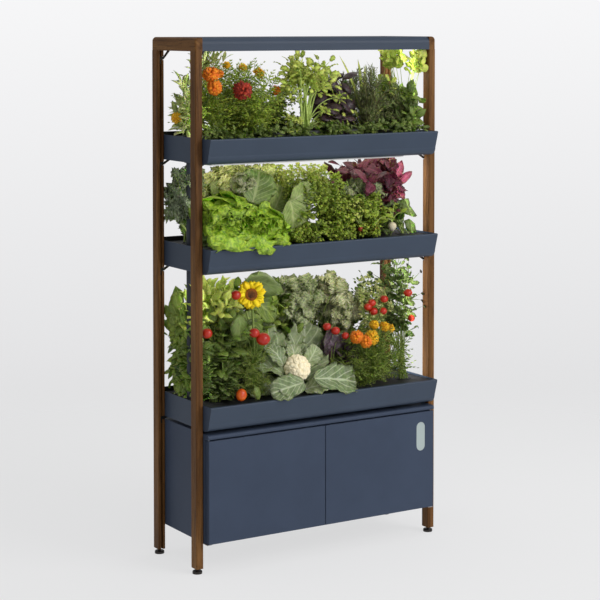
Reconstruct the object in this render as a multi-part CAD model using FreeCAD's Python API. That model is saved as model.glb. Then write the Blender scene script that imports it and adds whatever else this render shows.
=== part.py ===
import FreeCAD, Part
import os

# Indoor hydroponic garden: a walnut frame that carries a light hood, three planted trays and a
# cabinet with a water tank. Millimetres, +Z up, the floor at Z = 0, the front towards -Y.
# The origin is the bottom centre of the whole object.

Vector = FreeCAD.Vector
UP = Vector(0, 0, 1)
ALONG_X = Vector(1, 0, 0)
ALONG_Y = Vector(0, 1, 0)

# Overall frame
frame_width = 914.0
frame_depth = 293.0
frame_height = 1677.0
post_width = 25.0
post_depth = 37.0
post_round = 4.0
post_foot_gap = 17.0
rail_height = 43.0
rail_round = 13.0
rail_end_round = 6.0
tenon_width = 9.0
tenon_depth = 20.0
tenon_height = 24.0
groove_width = 7.0
groove_depth = 9.0
notch_height = 12.0
notch_drop = 13.0
low_notch_drop = 5.0
hood_notch_drop = 25.0

# Steel hooks that carry the trays and the hood
hook_thickness = 5.0
hook_width = 5.0
hook_reach = 22.0
hook_arm = 8.0
hook_tip = 3.0
hook_seat = 6.0
hook_tongue = 18.0
hook_clearance = 1.0

# Levelling feet and their inserts
pad_radius = 15.5
pad_height = 9.0
pad_chamfer = 2.0
stem_radius = 4.95
insert_bore = 5.0
insert_radius = 7.0
insert_length = 25.0
stem_engagement = 22.0

# Trays
upper_rim_drop = 314.0
tray_spacing = 342.0
lower_tray_gap = 10.0
tray_height = 80.0
tray_wall = 2.0
lip_proud = 51.0
shoulder_proud = 36.0
flare_drop = 54.0
tray_rear_round = 26.0
lip_width = 10.0
lip_round = 4.0
cover_drop = 6.0
cover_thickness = 2.5
cover_clearance = 0.6
cover_upstand = 8.0
cover_seat_gap = 0.05

# Net cups
cup_radius = 23.0
cup_foot_radius = 17.0
cup_depth = 45.0
cup_flange = 4.0
cup_flange_height = 2.0
cup_clearance = 0.3
cup_columns = 6
cup_end_inset = 69.5
cup_side_inset = 86.5

# Screws that hold the cabinet to the frame
screw_radius = 3.0
screw_reach = 18.0
screw_head_radius = 5.0
screw_head_height = 4.0
screw_inset = 23.0

# Light hood, light bars and diffusers
hood_wall = 1.5
hood_round = 20.0
hood_flange = 10.0
hood_end_flange = 24.0
bar_height = 9.0
bar_setback = 60.0
bar_drain_gap = 16.0
bar_riser_gap = 20.0
diffuser_margin = 8.0
diffuser_height = 2.5

# Water pipes
pipe_depth = 143.0
drain_inset = 30.0
drain_radius = 10.0
drain_bore = 8.0
drain_flange = 6.0
drain_flange_height = 4.0
water_depth = 35.0
drain_dip = 22.0
drain_cap = 2.0
drain_slot_width = 8.0
drain_slot_height = 14.0
low_drain_inset = 62.0
riser_inset = 95.0
riser_back_inset = 57.0
riser_radius = 6.0
riser_bore = 4.5
collar_width = 3.0
collar_height = 22.0
pipe_clearance = 0.5
riser_end_gap = 8.0

# Cabinet
cabinet_bottom = 97.0
cabinet_top = 441.0
cabinet_proud = 32.0
board = 15.0
back_board = 10.0
back_inset = 3.0
top_nose_round = 7.0
nose_share = 0.49
door_thickness = 18.0
door_back_gap = 3.0
door_side_gap = 2.0
door_top_gap = 3.0
door_bottom_gap = 1.5
door_edge_round = 1.5
pin_radius = 3.0
pin_clearance = 0.05
pin_inset = 6.0
pin_reach = 12.0
pin_cap = 3.0
bracket_thickness = 2.0
bracket_width = 16.0
bracket_reach = 30.0
window_width = 34.0
window_height = 96.0
window_edge = 52.0
window_drop = 81.0
window_thickness = 5.0
window_recess = 0.5
cabinet_screw_rise = 55.0
cabinet_screw_drop = 60.0

# Tank, pump and float
tank_side_gap = 4.0
tank_front_gap = 30.0
tank_back_gap = 11.0
tank_height = 178.0
tank_wall = 3.0
tank_round = 12.0
lid_height = 3.0
lid_overhang = 3.0
pump_width = 60.0
pump_length = 56.0
pump_height = 48.0
pump_round = 4.0
chamber_radius = 17.0
chamber_depth = 16.0
shaft_radius = 2.0
shaft_clearance = 0.05
impeller_radius = 15.0
impeller_height = 12.0
impeller_hub_radius = 5.0
blade_thickness = 2.5
blade_count = 6
impeller_gap = 1.0
float_inset = 163.0
float_stem_radius = 3.0
float_clearance = 0.1
float_radius = 15.0
float_height = 28.0
float_stop_radius = 8.0
float_stop_height = 2.0
float_floor_gap = 6.0

# Control hub and power inlet
hub_setback = 12.0
hub_width = 90.0
hub_depth = 60.0
hub_bottom_gap = 11.0
hub_round = 6.0
hub_top_gap = 12.0
button_radius = 6.0
button_length = 9.0
button_proud = 3.0
button_travel = 1.5
button_clearance = 0.3
button_rise = 34.0
inlet_radius = 7.0
inlet_flange_radius = 11.0
inlet_flange_height = 2.0
inlet_bore = 2.9
inlet_bore_depth = 9.0
inlet_from_side = 60.0
inlet_rise = 60.0
inlet_tail = 6.0

# Plants
stem_thickness = 7.0
bay_side_gap = 4.0
bay_roof_gap = 6.0
stem_in_crown = 30.0
plant_gap = 1.0
lean_end = 0.35
ring_round = 0.4

# Places worked out from the sizes above
tray_rims = {"upper": frame_height - upper_rim_drop}
tray_rims["middle"] = tray_rims["upper"] - tray_spacing
tray_rims["lower"] = cabinet_top + lower_tray_gap + tray_height
half_width = frame_width / 2
front = (lip_proud - frame_depth) / 2
rear = front + frame_depth
inner_left = -half_width + post_width
inner_right = -inner_left
post_top = frame_height - rail_height
lip_front = front - lip_proud
shoulder = front - shoulder_proud
tray_round = tray_height - flare_drop
cup_rows = (shoulder + cup_side_inset, rear - cup_side_inset)
cup_pitch = (inner_right - inner_left - 2 * cup_end_inset) / (cup_columns - 1)
pipe_y = front + pipe_depth
drain_x = inner_left + drain_inset
low_drain_x = inner_left + low_drain_inset
riser_x = inner_left + riser_inset
riser_y = rear - riser_back_inset
bar_half = -drain_x - drain_radius - drain_flange - bar_drain_gap
bar_span = (front + bar_setback, riser_y - riser_radius - bar_riser_gap)
cabinet_front = front - cabinet_proud
door_back = cabinet_front + door_thickness
carcass_front = door_back + door_back_gap
door_top = cabinet_top - board - door_top_gap
door_bottom = cabinet_bottom + door_bottom_gap
cabinet_floor_top = cabinet_bottom + board
pin_y = door_back - pin_inset
tank_front = carcass_front + tank_front_gap
tank_back = rear - back_inset - back_board - tank_back_gap
tank_half = inner_right - board - tank_side_gap
tank_floor = cabinet_floor_top
tank_top = tank_floor + tank_height
pump_floor = tank_floor + tank_wall
float_x = tank_half - float_inset
float_y = (tank_front + tank_back) / 2


def save(name, shape):
    """Write one node as a STEP file."""
    if not shape.isValid():
        print("not valid:", name)
    shape.exportStep("parts/" + name + ".step")
    print(name, len(shape.Solids), round(shape.Volume / 1000.0, 2), "cm3")


def block(x, y, z):
    """A box between two X, two Y and two Z values."""
    size = (x[1] - x[0], y[1] - y[0], z[1] - z[0])
    return Part.makeBox(size[0], size[1], size[2], Vector(x[0], y[0], z[0]))


def rod(radius, start, length, direction=UP):
    """A cylinder from a start point along a direction."""
    return Part.makeCylinder(radius, length, Vector(*start), direction)


def fuse_all(shapes):
    """One shape from several that touch or overlap."""
    first = shapes[0]
    if len(shapes) == 1:
        return first
    return first.multiFuse(shapes[1:]).removeSplitter()


def group(shapes):
    """Separate solids kept together in one node."""
    solids = []
    for shape in shapes:
        solids.extend(shape.Solids)
    return Part.makeCompound(solids)


def face_in_yz(x, corners):
    """A face in the plane of one X. Each corner is (y, z) or, for an arc, (middle, end)."""
    edges = []
    here = Vector(x, *corners[0])
    for corner in corners[1:]:
        if isinstance(corner[0], tuple):
            middle = Vector(x, *corner[0])
            there = Vector(x, *corner[1])
            edges.append(Part.Arc(here, middle, there).toShape())
        else:
            there = Vector(x, *corner)
            edges.append(Part.makeLine(here, there))
        here = there
    return Part.Face(Part.Wire(edges))


def arc_middle(centre, radius, y_side, z_side):
    """The middle of a quarter arc, on the side of its centre that the two signs name."""
    reach = radius * 0.5 ** 0.5
    return (centre[0] + y_side * reach, centre[1] + z_side * reach)


def mirror_x(shape):
    """The same shape on the other side of the middle plane."""
    return shape.mirror(Vector(0, 0, 0), ALONG_X)


def edges_along(shape, direction, test):
    """Straight edges of a shape that run one way and whose middle passes a test."""
    found = []
    for edge in shape.Edges:
        if edge.Length < 1.0 or len(edge.Vertexes) != 2:
            continue
        run = edge.Vertexes[1].Point.sub(edge.Vertexes[0].Point)
        if abs(abs(run.dot(direction)) - edge.Length) > 1e-6:
            continue
        if test(edge.CenterOfMass):
            found.append(edge)
    return found


def tray_bottom(level):
    return tray_rims[level] - tray_height


def cover_top(level):
    return tray_rims[level] - cover_drop


def tray_floor_top(level):
    return tray_bottom(level) + tray_wall


def notches():
    """Notches through the posts: (centre height, underside that its hook carries)."""
    return [
        (post_top - hood_notch_drop, post_top),
        (tray_bottom("upper") - notch_drop, tray_bottom("upper")),
        (tray_bottom("middle") - notch_drop, tray_bottom("middle")),
        (tray_bottom("lower") - low_notch_drop, tray_bottom("lower")),
    ]


def screw_places():
    """Every screw as (y, z, x of the plane its head sits on) for the left side."""
    places = []
    for z in (cabinet_bottom + cabinet_screw_rise, cabinet_top - cabinet_screw_drop):
        for y in (front + screw_inset, rear - screw_inset):
            places.append((y, z, inner_left + board))
    return places


def screw_tip():
    """X of the end of every left screw, inside the wood."""
    return inner_left - screw_reach


def screw_holes():
    """Shanks of the left screws, used to cut their holes."""
    tip = screw_tip()
    holes = []
    for y, z, seat in screw_places():
        holes.append(rod(screw_radius, (tip, y, z), seat - tip, ALONG_X))
    return Part.makeCompound(holes)


def make_screws():
    """One screw for each hole, with its head inside the cabinet."""
    tip = screw_tip()
    screws = []
    for y, z, seat in screw_places():
        shank = rod(screw_radius, (tip, y, z), seat - tip, ALONG_X)
        head = rod(screw_head_radius, (seat, y, z), screw_head_height, ALONG_X)
        screw = fuse_all([shank, head])
        screws.append(screw)
        screws.append(mirror_x(screw))
    return group(screws)


def post_centre_y(is_front):
    return front + post_depth / 2 if is_front else rear - post_depth / 2


def make_post(is_front):
    """The left post: rounded section, a groove towards the other post, notches and bores."""
    near = front if is_front else rear - post_depth
    far = near + post_depth
    body = block((-half_width, inner_left), (near, far), (post_foot_gap, post_top))
    body = body.makeFillet(post_round, edges_along(body, UP, lambda p: True))
    centre_x = -half_width + post_width / 2
    groove_y = (far - groove_depth, far + 1) if is_front else (near - 1, near + groove_depth)
    groove_x = (centre_x - groove_width / 2, centre_x + groove_width / 2)
    cuts = [block(groove_x, groove_y, (post_foot_gap - 1, post_top + 1))]
    for height, seat in notches():
        span = (height - notch_height / 2, height + notch_height / 2)
        cuts.append(block((centre_x, inner_left + 1), groove_y, span))
    centre_y = post_centre_y(is_front)
    cuts.append(rod(insert_radius, (centre_x, centre_y, post_foot_gap), insert_length))
    cuts.append(screw_holes())
    body = body.cut(cuts)
    tenon_x = (centre_x - tenon_width / 2, centre_x + tenon_width / 2)
    tenon_y = (centre_y - tenon_depth / 2, centre_y + tenon_depth / 2)
    neck = block(groove_x, groove_y, (post_top - 1, post_top + tenon_height + 1))
    tenon = block(tenon_x, tenon_y, (post_top - 1, post_top + tenon_height)).cut(neck)
    return fuse_all([body, tenon]), tenon


def make_top_rail(tenons):
    """The left top rail, over both posts, with its outer top edge rounded."""
    span = (post_top, frame_height)
    rail = block((-half_width, inner_left), (front, rear), span)
    outer = edges_along(rail, ALONG_Y, lambda p: p.z > post_top + 1 and p.x < inner_left - 1)
    rail = rail.makeFillet(rail_round, outer)
    ends = edges_along(rail, ALONG_X, lambda p: p.z > frame_height - 1)
    rail = rail.makeFillet(rail_end_round, ends)
    return rail.cut(tenons)


def make_hook(y, height, seat):
    """A flat hook: a tongue in the post's groove, an arm through the notch, up to a seat."""
    groove = -half_width + post_width / 2 - groove_width / 2
    outer = groove + hook_clearance
    inner = outer + hook_thickness
    tip = inner_left + hook_reach
    low = height - hook_arm / 2
    high = height + hook_arm / 2
    corners = [
        (outer, height - hook_tongue), (inner, height - hook_tongue), (inner, low),
        (inner_left, low), (tip, seat - hook_tip), (tip, seat), (tip - hook_seat, seat),
        (inner_left, high), (outer, high), (outer, height - hook_tongue),
    ]
    outline = Part.makePolygon([Vector(x, y, z) for x, z in corners])
    return Part.Face(outline).extrude(Vector(0, hook_width, 0))


def make_hooks():
    """Hooks of both left posts at every notch, and the same on the right."""
    hooks = []
    from_front = front + post_depth - groove_depth + hook_clearance
    from_rear = rear - post_depth + groove_depth - hook_clearance - hook_width
    for height, seat in notches():
        for y in (from_front, from_rear):
            hook = make_hook(y, height, seat)
            hooks += [hook, mirror_x(hook)]
    return group(hooks)


def make_foot(is_front):
    """A pad on a stem that turns in the insert of the left post."""
    centre = (-half_width + post_width / 2, post_centre_y(is_front))
    pad = rod(pad_radius, (centre[0], centre[1], 0), pad_height)
    top_edge = [edge for edge in pad.Edges if edge.BoundBox.ZMin > pad_height - 0.1]
    pad = pad.makeChamfer(pad_chamfer, top_edge)
    length = post_foot_gap + stem_engagement - pad_height
    stem = rod(stem_radius, (centre[0], centre[1], pad_height), length)
    return fuse_all([pad, stem])


def make_insert(is_front):
    """The insert pressed in the bottom of the left post."""
    place = (-half_width + post_width / 2, post_centre_y(is_front), post_foot_gap)
    sleeve = rod(insert_radius, place, insert_length)
    return sleeve.cut(rod(insert_bore, place, insert_length))


def make_frame():
    posts = {}
    tenons = []
    for place, is_front in (("front", True), ("rear", False)):
        posts[place], tenon = make_post(is_front)
        tenons.append(tenon)
    rail = make_top_rail(tenons)
    for place, post in posts.items():
        save("post_" + place + "_left", post)
        save("post_" + place + "_right", mirror_x(post))
    save("top_rail_left", rail)
    save("top_rail_right", mirror_x(rail))
    inserts = []
    for place, is_front in (("front", True), ("rear", False)):
        foot = make_foot(is_front)
        save("foot_" + place + "_left", foot)
        save("foot_" + place + "_right", mirror_x(foot))
        insert = make_insert(is_front)
        inserts += [insert, mirror_x(insert)]
    save("foot_inserts", group(inserts))
    save("cabinet_screws", make_screws())
    save("shelf_hooks", make_hooks())


def tray_outline(x, top, bottom, wall, with_lip):
    """The tray's section: flared front, round lower corners, upright back."""
    bend = tray_round - wall
    back_bend = tray_rear_round - wall
    floor = bottom + wall
    bend_top = floor + bend
    front_centre = (shoulder + wall + bend, bend_top)
    back_centre = (rear - wall - back_bend, floor + back_bend)
    lip = lip_front + wall
    corners = [(lip, top)]
    if with_lip:
        centre = (lip + lip_round, top - lip_round)
        corners = [(lip + lip_round, top)]
        corners.append((arc_middle(centre, lip_round, -1, 1), (lip, top - lip_round)))
    corners.append((shoulder + wall, bend_top))
    middle = arc_middle(front_centre, bend, -1, -1)
    corners.append((middle, (front_centre[0], floor)))
    corners.append((back_centre[0], floor))
    middle = arc_middle(back_centre, back_bend, 1, -1)
    corners.append((middle, (rear - wall, back_centre[1])))
    corners.append((rear - wall, top))
    corners.append(corners[0])
    return face_in_yz(x, corners)


def tray_sheets(tray, level):
    """A tray's sheets, welded edge to edge: front, floor and back, and its two end plates."""
    z = (tray_bottom(level) - 1, tray_rims[level] + 1)
    x = (inner_left - 1, inner_left + tray_wall, inner_right - tray_wall, inner_right + 1)
    y = (lip_front - 1, shoulder + tray_round, rear - tray_rear_round, rear + 1)
    rooms = [block((x[1], x[2]), span, z) for span in zip(y, y[1:])]
    rooms += [block(span, (y[0], y[-1]), z) for span in ((x[0], x[1]), (x[2], x[3]))]
    return group([tray.common(room) for room in rooms])


def make_tray(level):
    """A metal tray with bent front and back sheets, end plates and an inward front lip."""
    top = tray_rims[level]
    bottom = tray_bottom(level)
    length = inner_right - inner_left
    outside = tray_outline(inner_left, top, bottom, 0.0, True)
    body = outside.extrude(Vector(length, 0, 0))
    inside = tray_outline(inner_left + tray_wall, top - tray_wall, bottom, tray_wall, False)
    hollow = inside.extrude(Vector(length - 2 * tray_wall, 0, 0))
    mouth_x = (inner_left + tray_wall, inner_right - tray_wall)
    mouth = block(mouth_x, (lip_front + lip_width, rear - tray_wall), (top - 10, top + 1))
    depth = tray_wall + 2
    drain = rod(drain_radius, (own_drain_x(level), pipe_y, bottom - 1), depth)
    riser = rod(riser_radius, (riser_x, riser_y, bottom - 1), depth)
    return tray_sheets(body.cut([hollow, mouth, drain, riser]), level)


def own_drain_x(level):
    """The lower tray's drain stands further in, so that it ends over the tank."""
    return low_drain_x if level == "lower" else drain_x


def cup_centres():
    """Plan positions of the net cups: two rows along the tray."""
    first = inner_left + cup_end_inset
    places = []
    for y in cup_rows:
        for column in range(cup_columns):
            places.append((first + column * cup_pitch, y))
    return places


def make_cover(level):
    """The black cover: its front edge lies on the sloping wall, its back hem on the rear wall."""
    rim = tray_rims[level]
    top = cover_top(level)
    gap = tray_wall + cover_clearance
    x = (inner_left + gap, inner_right - gap)
    back = rear - gap
    slope = (lip_proud - shoulder_proud) / flare_drop
    seat = lip_front + tray_wall + slope * (cover_drop + cover_thickness) + cover_seat_gap
    plate = block(x, (seat, back), (top - cover_thickness, top))
    upstand = block(x, (back - cover_thickness, back), (top, rim + cover_upstand))
    hem = block(x, (back - cover_thickness, rear), (rim, rim + cover_upstand))
    cover = fuse_all([plate, upstand, hem])
    cuts = []
    for x_cup, y_cup in cup_centres():
        place = (x_cup, y_cup, top - cover_thickness - 1)
        cuts.append(rod(cup_radius + cup_clearance, place, cover_thickness + 2))
    if level != "upper":
        low = top - cover_thickness - 1
        cuts += pipe_holes(drain_x, low, top + 1)
    return cover.cut(cuts)


def make_cups(level):
    """Net cups with their foam plugs, each as one closed basket."""
    top = cover_top(level)
    cups = []
    for x, y in cup_centres():
        flange = rod(cup_radius + cup_flange, (x, y, top), cup_flange_height)
        place = Vector(x, y, top - cup_depth)
        basket = Part.makeCone(cup_foot_radius, cup_radius, cup_depth, place, UP)
        cups.append(fuse_all([flange, basket]))
    return cups


def light_seats():
    """Underside that each light bar hangs from: the hood, the upper and the middle tray."""
    return [frame_height - hood_wall, tray_bottom("upper"), tray_bottom("middle")]


def make_lights():
    """A flat light bar under the hood and under two trays, each with its diffuser."""
    bars = []
    diffusers = []
    for seat in light_seats():
        low = seat - bar_height
        bars.append(block((-bar_half, bar_half), bar_span, (low, seat)))
        half = bar_half - diffuser_margin
        inner_y = (bar_span[0] + diffuser_margin, bar_span[1] - diffuser_margin)
        diffusers.append(block((-half, half), inner_y, (low - diffuser_height, low)))
    save("light_bars", group(bars))
    save("light_diffusers", group(diffusers))


def hood_outline(x, wall, low):
    """The hood's section: rounded long top edges, open below."""
    bend = hood_round - wall
    high = frame_height - wall
    y0 = front + wall
    y1 = rear - wall
    corners = [(y0, low), (y0, high - bend)]
    corners.append((arc_middle((y0 + bend, high - bend), bend, -1, 1), (y0 + bend, high)))
    corners.append((y1 - bend, high))
    corners.append((arc_middle((y1 - bend, high - bend), bend, 1, 1), (y1, high - bend)))
    corners += [(y1, low), (y0, low)]
    return face_in_yz(x, corners)


def make_hood():
    """The light hood between the top rails, with a flange all round its lower edge."""
    length = inner_right - inner_left
    body = hood_outline(inner_left, 0.0, post_top).extrude(Vector(length, 0, 0))
    inside = hood_outline(inner_left + hood_wall, hood_wall, post_top + hood_wall)
    hollow = inside.extrude(Vector(length - 2 * hood_wall, 0, 0))
    mouth_x = (inner_left + hood_end_flange, inner_right - hood_end_flange)
    mouth_y = (front + hood_flange, rear - hood_flange)
    mouth = block(mouth_x, mouth_y, (post_top - 1, post_top + hood_wall + 1))
    return body.cut([hollow, mouth])


def make_drain(level, end):
    """An overflow pipe from a tray's water line, closed below, with slots above its end."""
    x = own_drain_x(level)
    top = tray_floor_top(level) + water_depth
    pipe = rod(drain_radius, (x, pipe_y, end), top - end)
    flange_place = (x, pipe_y, tray_bottom(level) - drain_flange_height)
    flange = rod(drain_radius + drain_flange, flange_place, drain_flange_height)
    bore = rod(drain_bore, (x, pipe_y, end + drain_cap), top - end)
    slot_y = (pipe_y - drain_slot_width / 2, pipe_y + drain_slot_width / 2)
    slot_z = (end + drain_cap, end + drain_cap + drain_slot_height)
    slots = block((x - drain_radius - 1, x + drain_radius + 1), slot_y, slot_z)
    return fuse_all([pipe, flange]).cut([bore, slots])


def make_riser():
    """The feed pipe from the pump up through every tray, with a collar on each floor."""
    low = pump_floor + pump_height
    high = cover_top("upper") - cover_thickness - riser_end_gap
    parts = [rod(riser_radius, (riser_x, riser_y, low), high - low)]
    for level in tray_rims:
        place = (riser_x, riser_y, tray_floor_top(level))
        parts.append(rod(riser_radius + collar_width, place, collar_height))
    riser = fuse_all(parts)
    return riser.cut(rod(riser_bore, (riser_x, riser_y, low), high - low))


def make_trays():
    cups = []
    for level in tray_rims:
        save("tray_" + level, make_tray(level))
        save("tray_cover_" + level, make_cover(level))
        cups += make_cups(level)
    save("net_cups", group(cups))
    drains = [
        make_drain("upper", cover_top("middle") - drain_dip),
        make_drain("middle", cover_top("lower") - drain_dip),
        make_drain("lower", tank_top - drain_dip),
    ]
    save("drain_pipes", group(drains))
    save("riser_pipe", make_riser())


def pipe_holes(x_drain, low, high):
    """Clearance holes for a drain and for the riser between two heights."""
    drain = rod(drain_radius + pipe_clearance, (x_drain, pipe_y, low), high - low)
    riser = rod(riser_radius + pipe_clearance, (riser_x, riser_y, low), high - low)
    return [drain, riser]


def pin_places():
    """X of the door pins, left then right."""
    left = inner_left + door_side_gap + pin_inset
    return (left, -left)


def make_cabinet():
    """The cabinet's boards: top with a rounded nose, two sides, floor and back."""
    top_low = cabinet_top - board
    top = block((inner_left, inner_right), (cabinet_front, rear), (top_low, cabinet_top))
    nose = edges_along(top, ALONG_X, lambda p: p.y < cabinet_front + 1)
    top = top.makeFillet(min(top_nose_round, board * nose_share), nose)
    cuts = pipe_holes(low_drain_x, top_low - 1, cabinet_top + 1)
    for x in pin_places():
        cuts.append(rod(pin_radius, (x, pin_y, top_low), board - pin_cap))
    save("cabinet_top", top.cut(cuts))
    side_z = (cabinet_bottom, top_low)
    side = block((inner_left, inner_left + board), (carcass_front, rear), side_z)
    side = side.cut(screw_holes())
    save("cabinet_side_left", side)
    save("cabinet_side_right", mirror_x(side))
    inner_x = (inner_left + board, inner_right - board)
    floor_z = (cabinet_bottom, cabinet_floor_top)
    save("cabinet_floor", block(inner_x, (carcass_front, rear), floor_z))
    back_y = (rear - back_inset - back_board, rear - back_inset)
    back = block(inner_x, back_y, (cabinet_floor_top, top_low))
    place = (inlet_x(), back_y[0] - 1, inlet_z())
    save("cabinet_back", back.cut(rod(inlet_radius, place, back_board + 2, ALONG_Y)))


def inlet_x():
    return inner_right - board - inlet_from_side


def inlet_z():
    return cabinet_floor_top + inlet_rise


def make_inlet():
    """The round power socket in the back board, with its mouth towards the rear."""
    back_face = rear - back_inset
    length = back_board + inlet_tail
    place = (inlet_x(), back_face - length, inlet_z())
    body = rod(inlet_radius, place, length, ALONG_Y)
    flange_place = (inlet_x(), back_face, inlet_z())
    flange = rod(inlet_flange_radius, flange_place, inlet_flange_height, ALONG_Y)
    mouth = back_face + inlet_flange_height - inlet_bore_depth
    bore = rod(inlet_bore, (inlet_x(), mouth, inlet_z()), inlet_bore_depth, ALONG_Y)
    save("power_inlet", fuse_all([body, flange]).cut(bore))


def stadium(x, y, z, width, height, depth):
    """An upright slot shape with round ends, centred on x and z, running along Y."""
    radius = width / 2
    reach = height / 2 - radius
    middle = block((x - radius, x + radius), (y, y + depth), (z - reach, z + reach))
    ends = []
    for end in (z - reach, z + reach):
        ends.append(rod(radius, (x, y, end), depth, ALONG_Y))
    return fuse_all([middle] + ends)


def make_door():
    """The left door slab, with a bore for its top pin and one for its bottom pin."""
    x = (inner_left + door_side_gap, -door_side_gap / 2)
    door = block(x, (cabinet_front, door_back), (door_bottom, door_top))
    rim = edges_along(door, UP, lambda p: p.y < cabinet_front + 1)
    rim += edges_along(door, ALONG_X, lambda p: p.y < cabinet_front + 1)
    door = door.makeFillet(door_edge_round, rim)
    bore = pin_radius + pin_clearance
    depth = pin_reach + 1
    pin_x = pin_places()[0]
    cuts = [rod(bore, (pin_x, pin_y, door_top - depth), depth + 1)]
    cuts.append(rod(bore, (pin_x, pin_y, door_bottom - 1), depth + 1))
    return door.cut(cuts)


def make_hinges():
    """Top pins in the cabinet top, and lower pins on brackets under the cabinet floor."""
    top_low = cabinet_top - board
    low = door_top - pin_reach
    pieces = []
    for x in pin_places():
        pieces.append(rod(pin_radius, (x, pin_y, low), cabinet_top - pin_cap - low))
    x = pin_places()[0]
    bracket_z = (cabinet_bottom - bracket_thickness, cabinet_bottom)
    bracket_x = (inner_left, inner_left + bracket_width)
    plate = block(bracket_x, (pin_y - pin_inset, carcass_front + bracket_reach), bracket_z)
    pin = rod(pin_radius, (x, pin_y, cabinet_bottom), door_bottom + pin_reach - cabinet_bottom)
    lower = fuse_all([plate, pin])
    pieces += [lower, mirror_x(lower)]
    save("door_hinges", group(pieces))


def make_doors():
    left = make_door()
    save("door_left", left)
    window_x = inner_right - door_side_gap - window_edge
    window_z = door_top - window_drop
    hole_y = cabinet_front - 1
    hole_depth = door_thickness + 2
    hole = stadium(window_x, hole_y, window_z, window_width, window_height, hole_depth)
    save("door_right", mirror_x(left).cut(hole))
    lens_y = cabinet_front + window_recess
    size = (window_width, window_height, window_thickness)
    save("level_window", stadium(window_x, lens_y, window_z, *size))


def make_tank():
    """The open tank, and its lid with the float's stem."""
    half = tank_half
    y = (tank_front, tank_back)
    outside = block((-half, half), y, (tank_floor, tank_top))
    corners = edges_along(outside, UP, lambda p: True)
    outside = outside.makeFillet(tank_round, corners)
    inner_x = (-half + tank_wall, half - tank_wall)
    inner_y = (y[0] + tank_wall, y[1] - tank_wall)
    inside = block(inner_x, inner_y, (tank_floor + tank_wall, tank_top + 1))
    corners = edges_along(inside, UP, lambda p: True)
    inside = inside.makeFillet(tank_round - tank_wall, corners)
    save("water_tank", outside.cut(inside))
    lid_x = (-half - lid_overhang, half + lid_overhang)
    lid_y = (y[0] - lid_overhang, y[1] + lid_overhang)
    lid_z = (tank_top, tank_top + lid_height)
    lid = block(lid_x, lid_y, lid_z)
    lid = lid.cut(pipe_holes(low_drain_x, tank_top - 1, tank_top + lid_height + 1))
    stop_low = tank_floor + tank_wall + float_floor_gap
    stem_place = (float_x, float_y, stop_low)
    stem = rod(float_stem_radius, stem_place, tank_top + 1 - stop_low)
    stop = rod(float_stop_radius, stem_place, float_stop_height)
    save("tank_lid", fuse_all([lid, stem, stop]))
    float_low = (float_x, float_y, stop_low + float_stop_height)
    ring = rod(float_radius, float_low, float_height)
    bore = rod(float_stem_radius + float_clearance, float_low, float_height)
    save("level_float", ring.cut(bore))


def make_pump():
    """The pump with a round chamber in its front, and the impeller on its shaft."""
    x = (riser_x - pump_width / 2, riser_x + pump_width / 2)
    y = (riser_y - pump_length / 2, riser_y + pump_length / 2)
    body = block(x, y, (pump_floor, pump_floor + pump_height))
    body = body.makeFillet(pump_round, edges_along(body, UP, lambda p: True))
    centre_z = pump_floor + pump_height / 2
    mouth = (riser_x, y[0], centre_z)
    chamber = rod(chamber_radius, mouth, chamber_depth, ALONG_Y)
    shaft = rod(shaft_radius, mouth, chamber_depth + 1, ALONG_Y)
    outlet_depth = pump_height / 2
    outlet = rod(riser_bore, (riser_x, riser_y, centre_z), outlet_depth + 1)
    save("pump_body", fuse_all([body.cut([chamber, outlet]), shaft]))
    start = y[0] + impeller_gap
    place = (riser_x, start, centre_z)
    parts = [rod(impeller_hub_radius, place, impeller_height, ALONG_Y)]
    for index in range(blade_count):
        blade = block((riser_x, riser_x + impeller_radius), (start, start + impeller_height),
                      (centre_z - blade_thickness / 2, centre_z + blade_thickness / 2))
        blade.rotate(Vector(*place), ALONG_Y, index * 360.0 / blade_count)
        parts.append(blade)
    impeller = fuse_all(parts)
    bore = rod(shaft_radius + shaft_clearance, place, impeller_height, ALONG_Y)
    save("pump_impeller", impeller.cut(bore))


def make_hub():
    """The control hub on the right cabinet side, and its push button."""
    x = (inner_right - board - hub_width, inner_right - board)
    z = (tank_top + lid_height + hub_bottom_gap, cabinet_top - board - hub_top_gap)
    y = (tank_front + hub_setback, tank_front + hub_setback + hub_depth)
    hub = block(x, y, z)
    rim = edges_along(hub, ALONG_X, lambda p: True)
    hub = hub.makeFillet(hub_round, rim)
    centre_x = (x[0] + x[1]) / 2
    centre_z = z[0] + button_rise
    button_start = y[0] - button_proud
    depth = button_length - button_proud + button_travel + 1
    well = rod(button_radius + button_clearance, (centre_x, y[0], centre_z), depth, ALONG_Y)
    save("control_hub", hub.cut(well))
    place = (centre_x, button_start, centre_z)
    save("hub_button", rod(button_radius, place, button_length, ALONG_Y))


def bay(level):
    """The room for plants over one tray, as X, Y and Z spans: inside the posts, under the light."""
    seat = light_seats()[list(tray_rims).index(level)]
    roof = seat - bar_height - diffuser_height - bay_roof_gap
    x = (inner_left + bay_side_gap, inner_right - bay_side_gap)
    return (x, (lip_front, rear), (tray_rims[level], roof))


def part_way(span, share):
    """The place at a share of the way along a span."""
    return span[0] + (span[1] - span[0]) * share


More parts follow.
